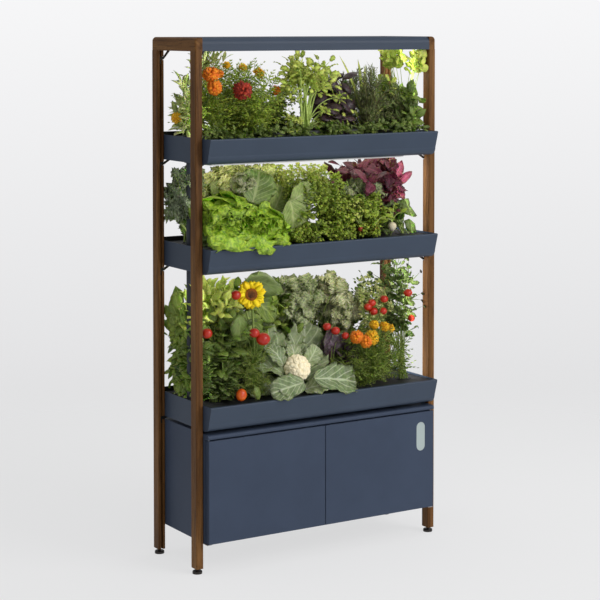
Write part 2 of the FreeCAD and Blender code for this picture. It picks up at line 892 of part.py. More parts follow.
def rounded_ring(x, y, height):
    """A closed rounded rectangle in a level plane, between two X and two Y values."""
    bend = min(x[1] - x[0], y[1] - y[0]) * ring_round
    corners = [(x[1], y[0], 1, -1), (x[1], y[1], 1, 1), (x[0], y[1], -1, 1), (x[0], y[0], -1, -1)]
    points = []
    for corner_x, corner_y, side_x, side_y in corners:
        centre = (corner_x - side_x * bend, corner_y - side_y * bend)
        along_x = (centre[0], corner_y)
        along_y = (corner_x, centre[1])
        middle = arc_middle(centre, bend, side_x, side_y)
        first, last = (along_x, along_y) if side_x == -side_y else (along_y, along_x)
        points.append([Vector(p[0], p[1], height) for p in (first, middle, last)])
    edges = []
    for index, (first, middle, last) in enumerate(points):
        edges.append(Part.Arc(first, middle, last).toShape())
        edges.append(Part.makeLine(last, points[(index + 1) % len(points)][0]))
    return Part.Wire(edges)


def foliage(cell, cup, low, high, shape):
    """A crown of leaves that leans from its cup to the middle of its cell of the tray.

    shape gives (share of the height, share of the width) from the lowest ring up. No ring
    leaves the cell, and both pipes pass with a gap.
    """
    spans = ((cell[0] + plant_gap / 2, cell[1] - plant_gap / 2),
             (cell[2] + plant_gap / 2, cell[3] - plant_gap / 2))
    rings = []
    for rise, share in shape:
        lean = min(rise / lean_end, 1.0)
        sides = []
        for span, start in zip(spans, cup):
            centre = start + ((span[0] + span[1]) / 2 - start) * lean
            reach = (span[1] - span[0]) / 2 * share
            sides.append((max(centre - reach, span[0]), min(centre + reach, span[1])))
        rings.append(rounded_ring(sides[0], sides[1], low + rise * (high - low)))
    crown = Part.makeLoft(rings, True, True)
    holes = []
    for x, y, radius in ((drain_x, pipe_y, drain_radius), (riser_x, riser_y, riser_radius)):
        holes.append(rod(radius + plant_gap, (x, y, low - 1), high - low + 2))
    return crown.cut(holes)


MOUND = [(0.0, 0.45), (0.25, 0.9), (0.65, 1.0), (0.88, 0.82), (1.0, 0.45)]
SPRAY = [(0.0, 0.25), (0.35, 0.6), (0.7, 0.98), (0.9, 0.86), (1.0, 0.5)]
ROSETTE = [(0.0, 0.5), (0.35, 0.95), (0.6, 1.0), (0.85, 0.75), (1.0, 0.4)]


def plant(level, cell, rises, cup, shape, heads=()):
    """One plant: a stem in its cup, a crown, and round heads or fruit that stand in it.

    cell gives the crown's two X and two Y limits, and rises its lowest and highest level, all
    as shares of the room over the tray. cup is (column, row) of its net cup. heads are
    (x share, y share, height share, radius).
    """
    room = bay(level)
    spans = [part_way(room[0], cell[0]), part_way(room[0], cell[1])]
    spans += [part_way(room[1], cell[2]), part_way(room[1], cell[3])]
    low = part_way(room[2], rises[0])
    high = part_way(room[2], rises[1])
    place = cup_centres()[cup[1] * cup_columns + cup[0]]
    crown = foliage(spans, place, low, high, shape)
    floor = cover_top(level) + cup_flange_height
    stem = rod(stem_thickness, (place[0], place[1], floor), low + stem_in_crown - floor)
    parts = [crown, stem]
    for x, y, height, radius in heads:
        centre = [part_way(span, share) for span, share in zip(room, (x, y, height))]
        parts.append(Part.makeSphere(radius, Vector(*centre)))
    return fuse_all(parts)


def upper_plants():
    save("marigold_plant", plant("upper", (0.0, 0.374, 0.116, 1.0), (0, 0.76), (1, 0), MOUND,
                                 [(0.091, 0.413, 0.695, 26), (0.173, 0.157, 0.508, 26)]))
    save("celery_plant", plant("upper", (0.374, 0.615, 0.145, 1.0), (0, 0.85), (2, 0), SPRAY))
    basil = plant("upper", (0.615, 0.766, 0.174, 1.0), (0, 0.645), (4, 1), MOUND)
    save("purple_basil_plant", basil)
    save("rosemary_plant", plant("upper", (0.766, 0.967, 0.5, 1.0), (0, 0.895), (5, 1), SPRAY))
    trailing = plant("upper", (0.766, 1.0, 0.017, 0.5), (0, 0.85), (5, 0), MOUND)
    save("nasturtium_plant", trailing)


def middle_plants():
    blue = plant("middle", (0.0, 0.089, 0.5, 1.0), (0, 1.0), (0, 1), MOUND)
    pale = plant("middle", (0.089, 0.43, 0.5, 1.0), (0, 1.0), (1, 1), MOUND)
    save("kale_plants", group([blue, pale]))
    lettuce = plant("middle", (0.0, 0.389, 0.006, 0.5), (0, 0.687), (1, 0), ROSETTE)
    save("lettuce_plant", lettuce)
    parsley = plant("middle", (0.389, 0.806, 0.041, 0.5), (0, 0.973), (3, 0), MOUND)
    save("parsley_plant", parsley)
    save("amaranth_plant", plant("middle", (0.43, 1.0, 0.5, 1.0), (0, 1.0), (4, 1), SPRAY))
    roots = plant("middle", (0.806, 1.0, 0.041, 0.5), (0, 0.49), (5, 0), MOUND,
                  [(0.841, 0.116, 0.049, 17)])
    save("radish_plants", roots)


def lower_plants():
    save("basil_plant", plant("lower", (0.0, 0.089, 0.5, 1.0), (0, 0.879), (0, 1), MOUND))
    save("pepper_plant", plant("lower", (0.0, 0.199, 0.041, 0.5), (0, 0.854), (0, 0), MOUND))
    bloom = plant("lower", (0.199, 0.36, 0.07, 0.5), (0.321, 0.948), (1, 0), SPRAY,
                  [(0.266, 0.145, 0.81, 44)])
    save("sunflower_plant", bloom)
    head = plant("lower", (0.26, 0.743, 0.009, 0.5), (0, 0.311), (2, 0), ROSETTE,
                 [(0.447, 0.151, 0.234, 40)])
    save("cauliflower_plant", head)
    greens = plant("lower", (0.089, 0.348, 0.5, 1.0), (0, 0.955), (1, 1), MOUND)
    curly = plant("lower", (0.348, 0.78, 0.5, 1.0), (0, 0.93), (3, 1), MOUND)
    save("leafy_plants", group([greens, curly]))
    calendula = plant("lower", (0.743, 0.967, 0.087, 0.5), (0, 0.459), (4, 0), MOUND)
    save("calendula_plant", calendula)
    save("tomato_plant", plant("lower", (0.78, 1.0, 0.5, 1.0), (0, 0.988), (5, 1), SPRAY))


def main():
    os.makedirs("parts", exist_ok=True)
    make_frame()
    save("light_hood", make_hood())
    make_lights()
    make_trays()
    make_cabinet()
    make_doors()
    make_hinges()
    make_tank()
    make_pump()
    make_hub()
    make_inlet()
    upper_plants()
    middle_plants()
    lower_plants()


main()
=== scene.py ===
# %% [markdown]
# An indoor hydroponic garden. A walnut rack carries a light hood, three water trays full of
# plants, and a cabinet with two doors for the tank and the pump. The construction is a fixed
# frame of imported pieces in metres, +Z up, with the front towards -Y. The cells below give each
# of those pieces its finish, and grow the plants that stand in the net cups.

# %% Load the frame
import math

import bpy
import numpy as np
from mathutils import Matrix, Vector


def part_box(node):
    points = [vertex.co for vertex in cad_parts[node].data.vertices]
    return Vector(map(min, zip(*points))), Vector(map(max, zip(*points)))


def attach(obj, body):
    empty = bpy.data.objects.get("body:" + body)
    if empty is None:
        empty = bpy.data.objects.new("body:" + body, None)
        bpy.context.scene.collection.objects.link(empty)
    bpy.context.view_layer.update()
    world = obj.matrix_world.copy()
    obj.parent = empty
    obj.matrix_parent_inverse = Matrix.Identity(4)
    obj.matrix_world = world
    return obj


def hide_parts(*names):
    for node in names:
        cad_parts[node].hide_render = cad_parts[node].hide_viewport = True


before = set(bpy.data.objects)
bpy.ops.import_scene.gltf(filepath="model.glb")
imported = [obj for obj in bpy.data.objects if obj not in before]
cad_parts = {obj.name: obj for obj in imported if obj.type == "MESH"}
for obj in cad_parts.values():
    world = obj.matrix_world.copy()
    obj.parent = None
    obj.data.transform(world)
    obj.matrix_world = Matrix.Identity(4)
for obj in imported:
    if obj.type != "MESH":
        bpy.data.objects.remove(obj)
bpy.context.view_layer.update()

print("pieces in the frame:", len(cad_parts))

# %% [markdown]
# A camera with a long lens stands to the front left, a little above the middle of the rack. Its
# place was fitted to the edges of the posts and trays. A vertical shift keeps the posts nearly
# parallel, as a view camera does.

# %% Camera
CAMERA_PLACE = Vector((-3.1065, -4.9856, 1.7181))
CAMERA_AZIMUTH = math.radians(31.91)
CAMERA_PITCH = math.radians(2.44)
IMAGE_SIZE = 600.0
FOCAL_PIXELS = 1794.6
CENTRE_ROW = 100.6
SENSOR = 36.0

lens = bpy.data.cameras.new("lens")
lens.sensor_width = SENSOR
lens.lens = FOCAL_PIXELS / IMAGE_SIZE * SENSOR
lens.shift_y = (CENTRE_ROW - IMAGE_SIZE / 2) / IMAGE_SIZE
camera = bpy.data.objects.new("camera", lens)
camera.location = CAMERA_PLACE
camera.rotation_euler = (math.pi / 2 - CAMERA_PITCH, 0.0, -CAMERA_AZIMUTH)
bpy.context.collection.objects.link(camera)
bpy.context.scene.camera = camera
print("lens", round(lens.lens, 1), "mm, shift", round(lens.shift_y, 3))

# %% [markdown]
# The studio is a pale floor that runs into a pale background. One large soft lamp stands at the
# front right, a weaker one in front and one overhead. Two weak tall ones stand in the bays, for
# what the grow lights throw on the posts. Only the camera sees the background's brightness, so it
# adds no light to the object.

# %% Studio: world and lamps
HORIZON = (0.76, 0.76, 0.77, 1.0)
ZENITH = (0.93, 0.93, 0.94, 1.0)
DARK_BELOW = -0.2
PALE_ABOVE = 0.02
AMBIENT = (0.96, 0.98, 1.0, 1.0)
AMBIENT_STRENGTH = 0.45


def add_node(tree, kind, settings=None, inputs=None):
    """A node of any tree, its settings first. Inputs are values, or sockets to link from."""
    node = tree.nodes.new(kind)
    for name, value in (settings or {}).items():
        setattr(node, name, value)
    for slot, value in (inputs or {}).items():
        if isinstance(value, bpy.types.NodeSocket):
            tree.links.new(value, node.inputs[slot])
        else:
            node.inputs[slot].default_value = value
    return node


def seen_by_camera(tree, mirrors):
    """One where a ray comes from the camera, or from a mirror-like surface too, otherwise zero."""
    rays = add_node(tree, "ShaderNodeLightPath").outputs
    if not mirrors:
        return rays["Is Camera Ray"]
    either = {0: rays["Is Camera Ray"], 1: rays["Is Glossy Ray"]}
    return add_node(tree, "ShaderNodeMath", {"operation": "MAXIMUM"}, either).outputs[0]


world = bpy.data.worlds.new("studio")
bpy.context.scene.world = world
world.use_nodes = True
sky = world.node_tree
sky.nodes.clear()
gaze = add_node(sky, "ShaderNodeTexCoord").outputs["Generated"]
height = add_node(sky, "ShaderNodeSeparateXYZ", {}, {0: gaze}).outputs["Z"]
climb = add_node(sky, "ShaderNodeMapRange", {},
                 {"Value": height, "From Min": DARK_BELOW, "From Max": PALE_ABOVE}).outputs[0]
paint = add_node(sky, "ShaderNodeMix", {"data_type": "RGBA"}, {0: climb, 6: HORIZON, 7: ZENITH})
backdrop = add_node(sky, "ShaderNodeBackground", {}, {"Color": paint.outputs[2]}).outputs[0]
ambient = add_node(sky, "ShaderNodeBackground", {},
                   {"Color": AMBIENT, "Strength": AMBIENT_STRENGTH}).outputs[0]
choice = add_node(sky, "ShaderNodeMixShader", {},
                  {0: seen_by_camera(sky, False), 1: ambient, 2: backdrop})
add_node(sky, "ShaderNodeOutputWorld", {}, {0: choice.outputs[0]})


MIDDLE = (0.0, 0.0, 0.85)
BAY_POWER = 3.6
LEFT_BAY_SHARE = 0.4


def lamp(name, place, target, size, power, tall=None):
    """A soft lamp that looks at a point, square unless tall. Gloss mirrors only the strong ones."""
    data = bpy.data.lights.new(name, "AREA")
    data.shape = "RECTANGLE"
    data.size = size
    data.size_y = tall or size
    data.energy = power
    thing = bpy.data.objects.new(name, data)
    thing.location = place
    aim = Vector(target) - Vector(place)
    thing.rotation_euler = aim.to_track_quat("-Z", "Y").to_euler()
    thing.visible_camera = False
    thing.visible_glossy = power > BAY_POWER
    bpy.context.collection.objects.link(thing)


lamp("key", (2.1, -3.8, 3.0), MIDDLE, 2.6, 104.0)
lamp("front", (0.4, -4.6, 1.2), (0.0, 0.0, 0.7), 2.4, 36.0)
lamp("overhead", (0.2, -0.4, 4.2), MIDDLE, 3.0, 22.0)
lamp("bays_right", (0.385, 0.0, 1.05), (0.45, 0.0, 1.05), 0.2, BAY_POWER, 1.2)
lamp("bays_left", (-0.385, 0.0, 1.05), (-0.45, 0.0, 1.05), 0.2,
     LEFT_BAY_SHARE * BAY_POWER, 1.2)
bpy.context.scene.view_settings.view_transform = "Standard"
print("lamps:", len(bpy.data.lights))

# %% [markdown]
# A finish is a small graph of shader nodes. Written out one node at a time it is long and hard
# to read, so a socket is wrapped in a class whose operators add Math nodes: 1 - mask then reads
# as it is meant. One method adds any other node from its type, its settings and its inputs.

# %% Helpers for shader graphs
class Wire:
    """One output of a shader node. Python's operators on it add Math nodes."""

    def __init__(self, tree, socket):
        self.tree = tree
        self.socket = socket

    def math(self, operation, *values):
        node = self.tree.nodes.new("ShaderNodeMath")
        node.operation = operation
        for slot, value in zip(node.inputs, values):
            feed(self.tree, slot, value)
        return Wire(self.tree, node.outputs[0])

    def clamp(self):
        return self.math("MINIMUM", self.math("MAXIMUM", self, 0.0), 1.0)

    def step(self, start, end):
        """Zero before start, one after end, smooth between them."""
        share = ((self - start) / (end - start)).clamp()
        return share * share * (3.0 - 2.0 * share)


def feed(tree, slot, value):
    """Link a wire to a socket, or set the socket's value."""
    if isinstance(value, Wire):
        tree.links.new(value.socket, slot)
    else:
        slot.default_value = value


def operator(operation, reflected):
    def apply(self, other):
        pair = (other, self) if reflected else (self, other)
        return self.math(operation, *pair)
    return apply


MATHS = {"add": "ADD", "sub": "SUBTRACT", "mul": "MULTIPLY", "truediv": "DIVIDE", "pow": "POWER"}
for word, operation in MATHS.items():
    setattr(Wire, "__" + word + "__", operator(operation, False))
    setattr(Wire, "__r" + word + "__", operator(operation, True))


class Finish:
    """A new material: one Principled shader and the nodes that feed it."""

    def __init__(self, name, **constants):
        self.material = bpy.data.materials.new(name)
        self.material.use_nodes = True
        self.tree = self.material.node_tree
        self.shader = self.tree.nodes["Principled BSDF"]
        for socket, value in constants.items():
            self.shader.inputs[socket.replace("_", " ")].default_value = value

    def node(self, kind, settings, inputs, output=0):
        node = self.tree.nodes.new("ShaderNode" + kind)
        for name, value in settings.items():
            if name == "stops":
                self.set_stops(node.color_ramp, value)
            else:
                setattr(node, name, value)
        for slot, value in inputs.items():
            feed(self.tree, node.inputs[slot], value)
        return Wire(self.tree, node.outputs[output])

    def set_stops(self, ramp, stops):
        while len(ramp.elements) < len(stops):
            ramp.elements.new(1.0)
        for element, (place, colour) in zip(ramp.elements, stops):
            element.position = place
            element.color = (*colour, 1.0)

    def ramp(self, factor, stops):
        return self.node("ValToRGB", {"stops": stops}, {0: factor})

    def mix(self, factor, *pair):
        first, second = (c if isinstance(c, Wire) else (*c, 1.0) for c in pair)
        return self.node("Mix", {"data_type": "RGBA"}, {0: factor, 6: first, 7: second}, 2)

    def place(self, scale=(1.0, 1.0, 1.0)):
        """Object coordinates, stretched by a scale along each axis."""
        point = self.node("TexCoord", {}, {}, "Object")
        return self.node("VectorMath", {"operation": "MULTIPLY"}, {0: point, 1: scale})

    def noise(self, vector, scale, detail=3.0, roughness=0.5, distortion=0.0):
        inputs = {"Vector": vector, "Scale": scale, "Detail": detail,
                  "Roughness": roughness, "Distortion": distortion}
        return self.node("TexNoise", {}, inputs)

    def colour(self, wire):
        feed(self.tree, self.shader.inputs["Base Color"], wire)

    def roughness(self, wire):
        feed(self.tree, self.shader.inputs["Roughness"], wire)

    def bump(self, height, distance, strength=1.0):
        inputs = {"Height": height, "Distance": distance, "Strength": strength}
        feed(self.tree, self.shader.inputs["Normal"], self.node("Bump", {}, inputs))


def dress(material, *names):
    """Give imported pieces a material."""
    for name in names:
        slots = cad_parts[name].data.materials
        slots.clear()
        slots.append(material)


# %% [markdown]
# The posts and rails are oiled walnut. Its grain is noise stretched along the board: broad warm
# bands, darker growth lines inside them, and short pores that are also dents. Posts run along Z
# and rails along Y, so the same graph is built twice with another stretch.

# %% Walnut
GRAIN_STRETCH = 0.045
PORE_STRETCH = 2.2 * GRAIN_STRETCH
WALNUT_TONES = [(0.3, (0.072, 0.03, 0.0092)), (0.52, (0.152, 0.068, 0.0215)),
                (0.72, (0.245, 0.12, 0.04))]
DARK_LINE = (0.02, 0.008, 0.004)
PORE = (0.014, 0.006, 0.003)


def walnut(name, along):
    board = Finish(name, Specular_IOR_Level=0.1)
    scale = [1.0, 1.0, 1.0]
    scale[along] = GRAIN_STRETCH
    point = board.place(scale)
    bands = board.noise(point, 38.0, 4.0, 0.55, 0.35)
    lines = board.noise(point, 190.0, 3.0, 0.6, 0.8)
    scale[along] = PORE_STRETCH
    pores = board.noise(board.place(scale), 900.0, 2.0, 0.5)
    tone = board.ramp(bands, WALNUT_TONES)
    dark_line = lines.step(0.5, 0.66) * 0.45
    tone = board.mix(dark_line, tone, DARK_LINE)
    pore = pores.step(0.6, 0.7)
    tone = board.mix(pore * 0.6, tone, PORE)
    board.colour(tone)
    board.roughness(0.4 + bands * 0.12 + pore * 0.2)
    board.bump(1.0 - pore * 0.7 - dark_line * 0.3, 0.00025, 0.5)
    return board.material


upright_walnut = walnut("walnut_upright", 2)
rail_walnut = walnut("walnut_rail", 1)
dress(upright_walnut, "post_front_left", "post_front_right", "post_rear_left", "post_rear_right")
dress(rail_walnut, "top_rail_left", "top_rail_right")
print("walnut on 4 posts and 2 rails")

# %% [markdown]
# The trays and the hood are folded steel with a satin powder coat, and the cabinet is lacquered
# board in the same blue-grey. Close up, powder coat has a fine orange peel, and lacquer is
# nearly flat. Both vary a little in tone. One function makes every plain painted or moulded
# surface from its colour, its roughness and the size and height of its texture.

# %% Painted and moulded surfaces
TONE_SPREAD = 0.08


def coated(name, colour, roughness, grain, height, **constants):
    """A plain surface: grain is the size of its texture in metres, height how deep it is."""
    surface = Finish(name, **constants)
    point = surface.place()
    cloud = surface.noise(point, 5.0, 4.0, 0.6)
    fine = surface.noise(point, 1.0 / grain, 2.0, 0.5)
    deep = [channel * (1.0 - TONE_SPREAD) for channel in colour]
    pale = [channel * (1.0 + TONE_SPREAD) for channel in colour]
    surface.colour(surface.mix(cloud.step(0.3, 0.7) * 0.7 + fine * 0.3, deep, pale))
    surface.roughness(roughness - 0.06 + cloud * 0.08 + fine * 0.06)
    surface.bump(fine, height, 0.6)
    return surface.material


NAVY = (0.039, 0.056, 0.087)
# The hood has the trays' powder coat made darker: painted shade that tones down the overhead light
# on its front.
NAVY_HOOD_SHADED = (0.032, 0.047, 0.075)
NAVY_BOARD = (0.047, 0.063, 0.1)
navy_coat = coated("navy_powder_coat", NAVY, 0.46, 0.0011, 0.00006, Specular_IOR_Level=0.28)
hood_coat_shaded = coated("hood_powder_coat", NAVY_HOOD_SHADED, 0.46, 0.0011, 0.00006, Specular_IOR_Level=0.28)
navy_lacquer = coated("navy_lacquer", NAVY_BOARD, 0.42, 0.003, 0.00003, Specular_IOR_Level=0.1)
black_plastic = coated("black_plastic", (0.018, 0.018, 0.02), 0.55, 0.0008, 0.00005)
pipe_plastic = coated("pipe_plastic", (0.022, 0.027, 0.04), 0.38, 0.004, 0.00003)
tank_plastic = coated("tank_plastic", (0.46, 0.48, 0.5), 0.45, 0.002, 0.00008)
float_foam = coated("float_foam", (0.55, 0.06, 0.03), 0.6, 0.0015, 0.0001)
zinc = coated("zinc_plate", (0.42, 0.42, 0.43), 0.38, 0.0012, 0.00003, Metallic=0.9)
black_oxide = coated("black_oxide", (0.03, 0.026, 0.023), 0.42, 0.0009, 0.00004, Metallic=0.6)
anodised = coated("anodised_aluminium", (0.6, 0.61, 0.63), 0.36, 0.0007, 0.00003, Metallic=0.8)
dress(navy_coat, "tray_upper", "tray_middle", "tray_lower")
dress(hood_coat_shaded, "light_hood")
dress(navy_lacquer, "cabinet_top", "cabinet_side_left", "cabinet_side_right", "cabinet_floor",
      "cabinet_back", "door_left", "door_right")
dress(black_plastic, "tray_cover_upper", "tray_cover_middle", "tray_cover_lower", "net_cups",
      "pump_body", "pump_impeller", "power_inlet", "hub_button")
dress(pipe_plastic, "drain_pipes", "riser_pipe", "control_hub")
dress(tank_plastic, "water_tank", "tank_lid")
dress(float_foam, "level_float")
dress(zinc, "foot_inserts", "cabinet_screws", "door_hinges")
dress(black_oxide, "foot_front_left", "foot_front_right", "foot_rear_left", "foot_rear_right",
      "shelf_hooks")
dress(anodised, "light_bars")
print("finishes so far:", len(bpy.data.materials))

# %% [markdown]
# The lights are on and lift the plants' tops. The diffuser is opal plastic that glows on its
# underside and far less on its edges. A frosted window in the door shows the water's level.

# %% Diffusers and the level window
GLOW = 1.3
EDGE_SHARE = 0.25
opal = Finish("opal_diffuser", Base_Color=(0.6, 0.6, 0.58, 1.0), Roughness=0.4,
              Emission_Strength=GLOW)
normal = opal.node("NewGeometry", {}, {}, "Normal")
below = -1.0 * opal.node("SeparateXYZ", {}, {0: normal}, 2)
edge = tuple(EDGE_SHARE * channel for channel in (1.0, 0.97, 0.92))
feed(opal.tree, opal.shader.inputs["Emission Color"],
     opal.mix(below.step(0.3, 0.7), edge, (1.0, 0.96, 0.86)))
opal.bump(opal.noise(opal.place(), 900.0, 2.0, 0.5), 0.00004, 0.4)
dress(opal.material, "light_diffusers")
frost = coated("frosted_window", (0.36, 0.42, 0.41), 0.42, 0.0009, 0.00005, Coat_Weight=0.3)
dress(frost, "level_window")
print("glowing:", opal.material.name)

# %% [markdown]
# The floor is a round sheet of pale paper that fades into the background, so no horizon shows.
# Four fifths of what the camera sees on it is its own colour and the rest is lit, which keeps the
# object's soft shadow without a grey floor.

# %% Floor
FLOOR_RADIUS = 4.0
FLOOR_SIDES = 96
FLOOR_OWN_SHARE = 0.8
FADE_START = 1.2
FADE_MARGIN = 0.1
floor_mesh = bpy.data.meshes.new("floor")
turns = [2 * math.pi * step / FLOOR_SIDES for step in range(FLOOR_SIDES)]
ring = [(FLOOR_RADIUS * math.cos(turn), FLOOR_RADIUS * math.sin(turn), 0.0) for turn in turns]
floor_mesh.from_pydata(ring, [], [list(range(FLOOR_SIDES))])
floor = bpy.data.objects.new("floor", floor_mesh)
bpy.context.collection.objects.link(floor)
paper = Finish("studio_paper", Specular_IOR_Level=0.0, Roughness=0.9)
paper.colour((0.96, 0.96, 0.96, 1.0))
glow = paper.node("Emission", {}, {"Color": (0.81, 0.81, 0.815, 1.0)})
clear = paper.node("BsdfTransparent", {}, {})
lit = Wire(paper.tree, paper.shader.outputs[0])
seen = Wire(paper.tree, seen_by_camera(paper.tree, True))
sheet = paper.node("MixShader", {}, {0: seen * FLOOR_OWN_SHARE, 1: lit, 2: glow})
away = paper.node("VectorMath", {"operation": "LENGTH"}, {0: paper.place()}, 1)
fade = away.step(FADE_START, FLOOR_RADIUS - FADE_MARGIN)
faded = paper.node("MixShader", {}, {0: fade, 1: sheet, 2: clear})
output = paper.tree.nodes["Material Output"]
paper.tree.links.new(faded.socket, output.inputs["Surface"])
floor_mesh.materials.append(paper.material)
print("floor: a disc of", FLOOR_RADIUS, "m radius that fades out")

# %% [markdown]
# Leaves, petals and fruit are small meshes that come in many sizes and turns. Each could be
# modelled by hand. Here functions write their points, and a small class holds them, so that they
# can be sized, turned and joined before they become a mesh, and a leaf also serves as a leaflet.

# %% Small shapes
class Shape:
    """Points, faces and UVs of a small mesh, before it becomes a template for repeats."""

    def __init__(self, points, faces, uvs):
        self.points = np.asarray(points, dtype=float)
        self.faces = faces
        self.uvs = np.asarray(uvs, dtype=float)

    def placed(self, spot, turn=0.0, tilt=0.0, size=1.0, roll=0.0):
        """The same shape, sized, rolled about +Y, tilted about X, turned about Z and moved."""
        matrix = Matrix.Translation(spot) @ Matrix.Rotation(turn, 4, "Z")
        matrix = matrix @ Matrix.Rotation(tilt, 4, "X") @ Matrix.Rotation(roll, 4, "Y")
        matrix = np.array(matrix @ Matrix.Scale(size, 4))
        return Shape(self.points @ matrix[:3, :3].T + matrix[:3, 3], self.faces, self.uvs)


def joined(shapes):
    """Several shapes as one."""
    faces = []
    offset = 0
    for shape in shapes:
        faces += [tuple(index + offset for index in face) for face in shape.faces]
        offset += len(shape.points)
    points = np.concatenate([shape.points for shape in shapes])
    return Shape(points, faces, np.concatenate([shape.uvs for shape in shapes]))


# %% [markdown]
# A leaf is a thin sheet, so here it is a closed lens: a grid of points for its upper face and
# another just below it, joined at the rim. One function bends, folds and ruffles the grid. Width
# along the leaf is a power of a sine, which gives ovals, spoons and spear shapes by two numbers.
# Ruffles are two waves of unlike lengths along each edge, so that they don't look even. Leaves
# that repeat hundreds of times get a grid of very few cells.

# %% One leaf blade
SECOND_WAVE = 2.3
SECOND_SHARE = 0.6
FRILL_WAVE = 1.7
FRILL_SHARE = 0.35


def closed_sheet(sides, u, v):
    """An upper and a lower grid of points as one closed shape. Rims are shared, ends are points."""
    rows, columns = len(v) - 1, u.size - 1
    points, uvs, ids = [], [], []
    for grid in sides:
        index = np.zeros((rows + 1, columns + 1), dtype=int)
        for r in range(rows + 1):
            for c in range(columns + 1):
                rim = r in (0, rows) or c in (0, columns)
                if rim and ids:
                    index[r, c] = ids[0][r, c]
                elif r in (0, rows) and c > 0:
                    index[r, c] = index[r, 0]
                else:
                    index[r, c] = len(points)
                    points.append(grid[r, c])
                    uvs.append((0.5 + 0.5 * u[0, c], v[r, 0]))
        ids.append(index)
    faces = []
    for index, order in zip(ids, (1, -1)):
        for r in range(rows):
            for c in range(columns):
                corners = (index[r, c], index[r, c + 1], index[r + 1, c + 1], index[r + 1, c])
                face = list(dict.fromkeys(corners))[::order]
                faces.append(tuple(face))
    return Shape(points, faces, uvs)


def blade(rows, columns, width, widest=0.45, fullness=0.8, bend=0.5, fold=0.15, cup=0.0,
          ruffle=0.0, waves=3.0, crinkle=0.0, lobes=0, lobe_depth=0.0, seed=0,
          thickness=0.01, late=1.0):
    """A leaf one unit long from its stalk along +Y, its upper face towards +Z.

    It bends backwards by an angle in all, evenly where late is one and mostly near its tip
    where late is more.
    """
    random = np.random.default_rng(seed)
    phase = random.uniform(0, 2 * math.pi, 12)
    v = np.linspace(0, 1, rows + 1)[:, None]
    u = np.linspace(-1, 1, columns + 1)[None, :]
    power = math.log(0.5) / math.log(widest)
    half = 0.5 * width * np.maximum(np.sin(np.pi * v ** power), 0.0) ** fullness
    if lobes:
        half = half * (1 - lobe_depth * np.abs(np.cos(lobes * np.pi * v)))
    side = np.where(u < 0, phase[0], phase[1])
    wave = np.sin(2 * np.pi * waves * v + side) + SECOND_SHARE * np.sin(
        2 * np.pi * waves * SECOND_WAVE * v + np.where(u < 0, phase[2], phase[3]))
    frill = np.sin(2 * np.pi * waves * FRILL_WAVE * v + np.where(u < 0, phase[4], phase[5]))
    edge = np.abs(u) ** 1.6 * np.minimum(v * 4, 1.0)
    x = u * half * (1 + ruffle * FRILL_SHARE * edge * frill)
    lift = fold * np.abs(x) + cup * u * u * half
    lift = lift + ruffle * width * 0.5 * edge * wave
    puff = np.sin(9 * v * waves + phase[6] + 2.5 * u) * np.sin(7 * u + phase[7] + 5 * v)
    lift = lift + crinkle * width * puff * (1 - np.abs(u)) * np.sin(np.pi * v)
    angle = bend * v ** late
    slope = bend * (0.5 * (v[1:] + v[:-1])) ** late
    along_y = np.concatenate([[[0.0]], np.cumsum(np.cos(slope), axis=0) / rows]) + 0 * u
    along_z = np.concatenate([[[0.0]], -np.cumsum(np.sin(slope), axis=0) / rows])
    thick = 0.5 * thickness * (1 - u * u) * np.sin(np.pi * v)
    sides = []
    for raised in (lift + thick, lift - thick):
        sides.append(np.stack([x + 0 * v, along_y + raised * np.sin(angle),
                               along_z + raised * np.cos(angle)], axis=-1))
    return closed_sheet(sides, u, v)


# %% [markdown]
# Marigold, celery and tomato leaves are compound: pairs of leaflets on one rib. Drawn whole, each
# kind would need its own outline. Copies of one blade along a bent rib give them all.

# %% A compound leaf
def feather(pairs, leaflet, length=0.42, spread=1.0, start=0.2, tip=0.5, curl=0.15):
    """A compound leaf: pairs of leaflets along a rib, shorter towards its tip, and one there."""
    parts = []
    for pair in range(pairs):
        share = pair / max(pairs - 1, 1)
        y = start + (0.92 - start) * share
        z = -curl * y * y
        size = length * (1 - 0.55 * share)
        for side in (-1, 1):
            turn = -side * (spread - 0.35 * share)
            parts.append(leaflet.placed((0.004 * side, y, z), turn, -0.2, size, side * 0.5))
    parts.append(leaflet.placed((0, 0.9, -curl * 0.81), 0.0, -0.3, tip * length))
    rib = blade(3, 2, 0.05, 0.3, 0.4, bend=curl * 1.8, thickness=0.03)
    return joined(parts + [rib])


# %% [markdown]
# Each plant is a cloud of points, one for every leaf, that hold how the leaf is turned, its size,
# its shape's number and its tint. A Geometry Nodes tree puts a leaf on each point. A second tree
# turns lines into stalks of changing thickness. Both results are made plain meshes, so what is
# kept has no instances or modifiers.

# %% Trees that repeat leaves and stalks
def new_tree(name, inputs):
    """A geometry tree with a geometry input and output and some named inputs."""
    tree = bpy.data.node_groups.new(name, "GeometryNodeTree")
    face = tree.interface
    face.new_socket(name="Geometry", in_out="INPUT", socket_type="NodeSocketGeometry")
    for label, kind in inputs:
        face.new_socket(name=label, in_out="INPUT", socket_type="NodeSocket" + kind)
    face.new_socket(name="Geometry", in_out="OUTPUT", socket_type="NodeSocketGeometry")
    tree.nodes.new("NodeGroupInput").name = "in"
    tree.nodes.new("NodeGroupOutput").name = "out"
    return tree


def attribute(tree, name, kind):
    node = add_node(tree, "GeometryNodeInputNamedAttribute", {"data_type": kind}, {"Name": name})
    return next(socket for socket in node.outputs if socket.enabled)


def finish_tree(tree, geometry, material):
    """Realize what the tree made, give it its material and send it out."""
    real = add_node(tree, "GeometryNodeRealizeInstances", {}, {0: geometry})
    smooth = add_node(tree, "GeometryNodeSetShadeSmooth", {}, {0: real.outputs[0]})
    painted = add_node(tree, "GeometryNodeSetMaterial", {}, {0: smooth.outputs[0], 2: material})
    tree.links.new(painted.outputs[0], tree.nodes["out"].inputs[0])


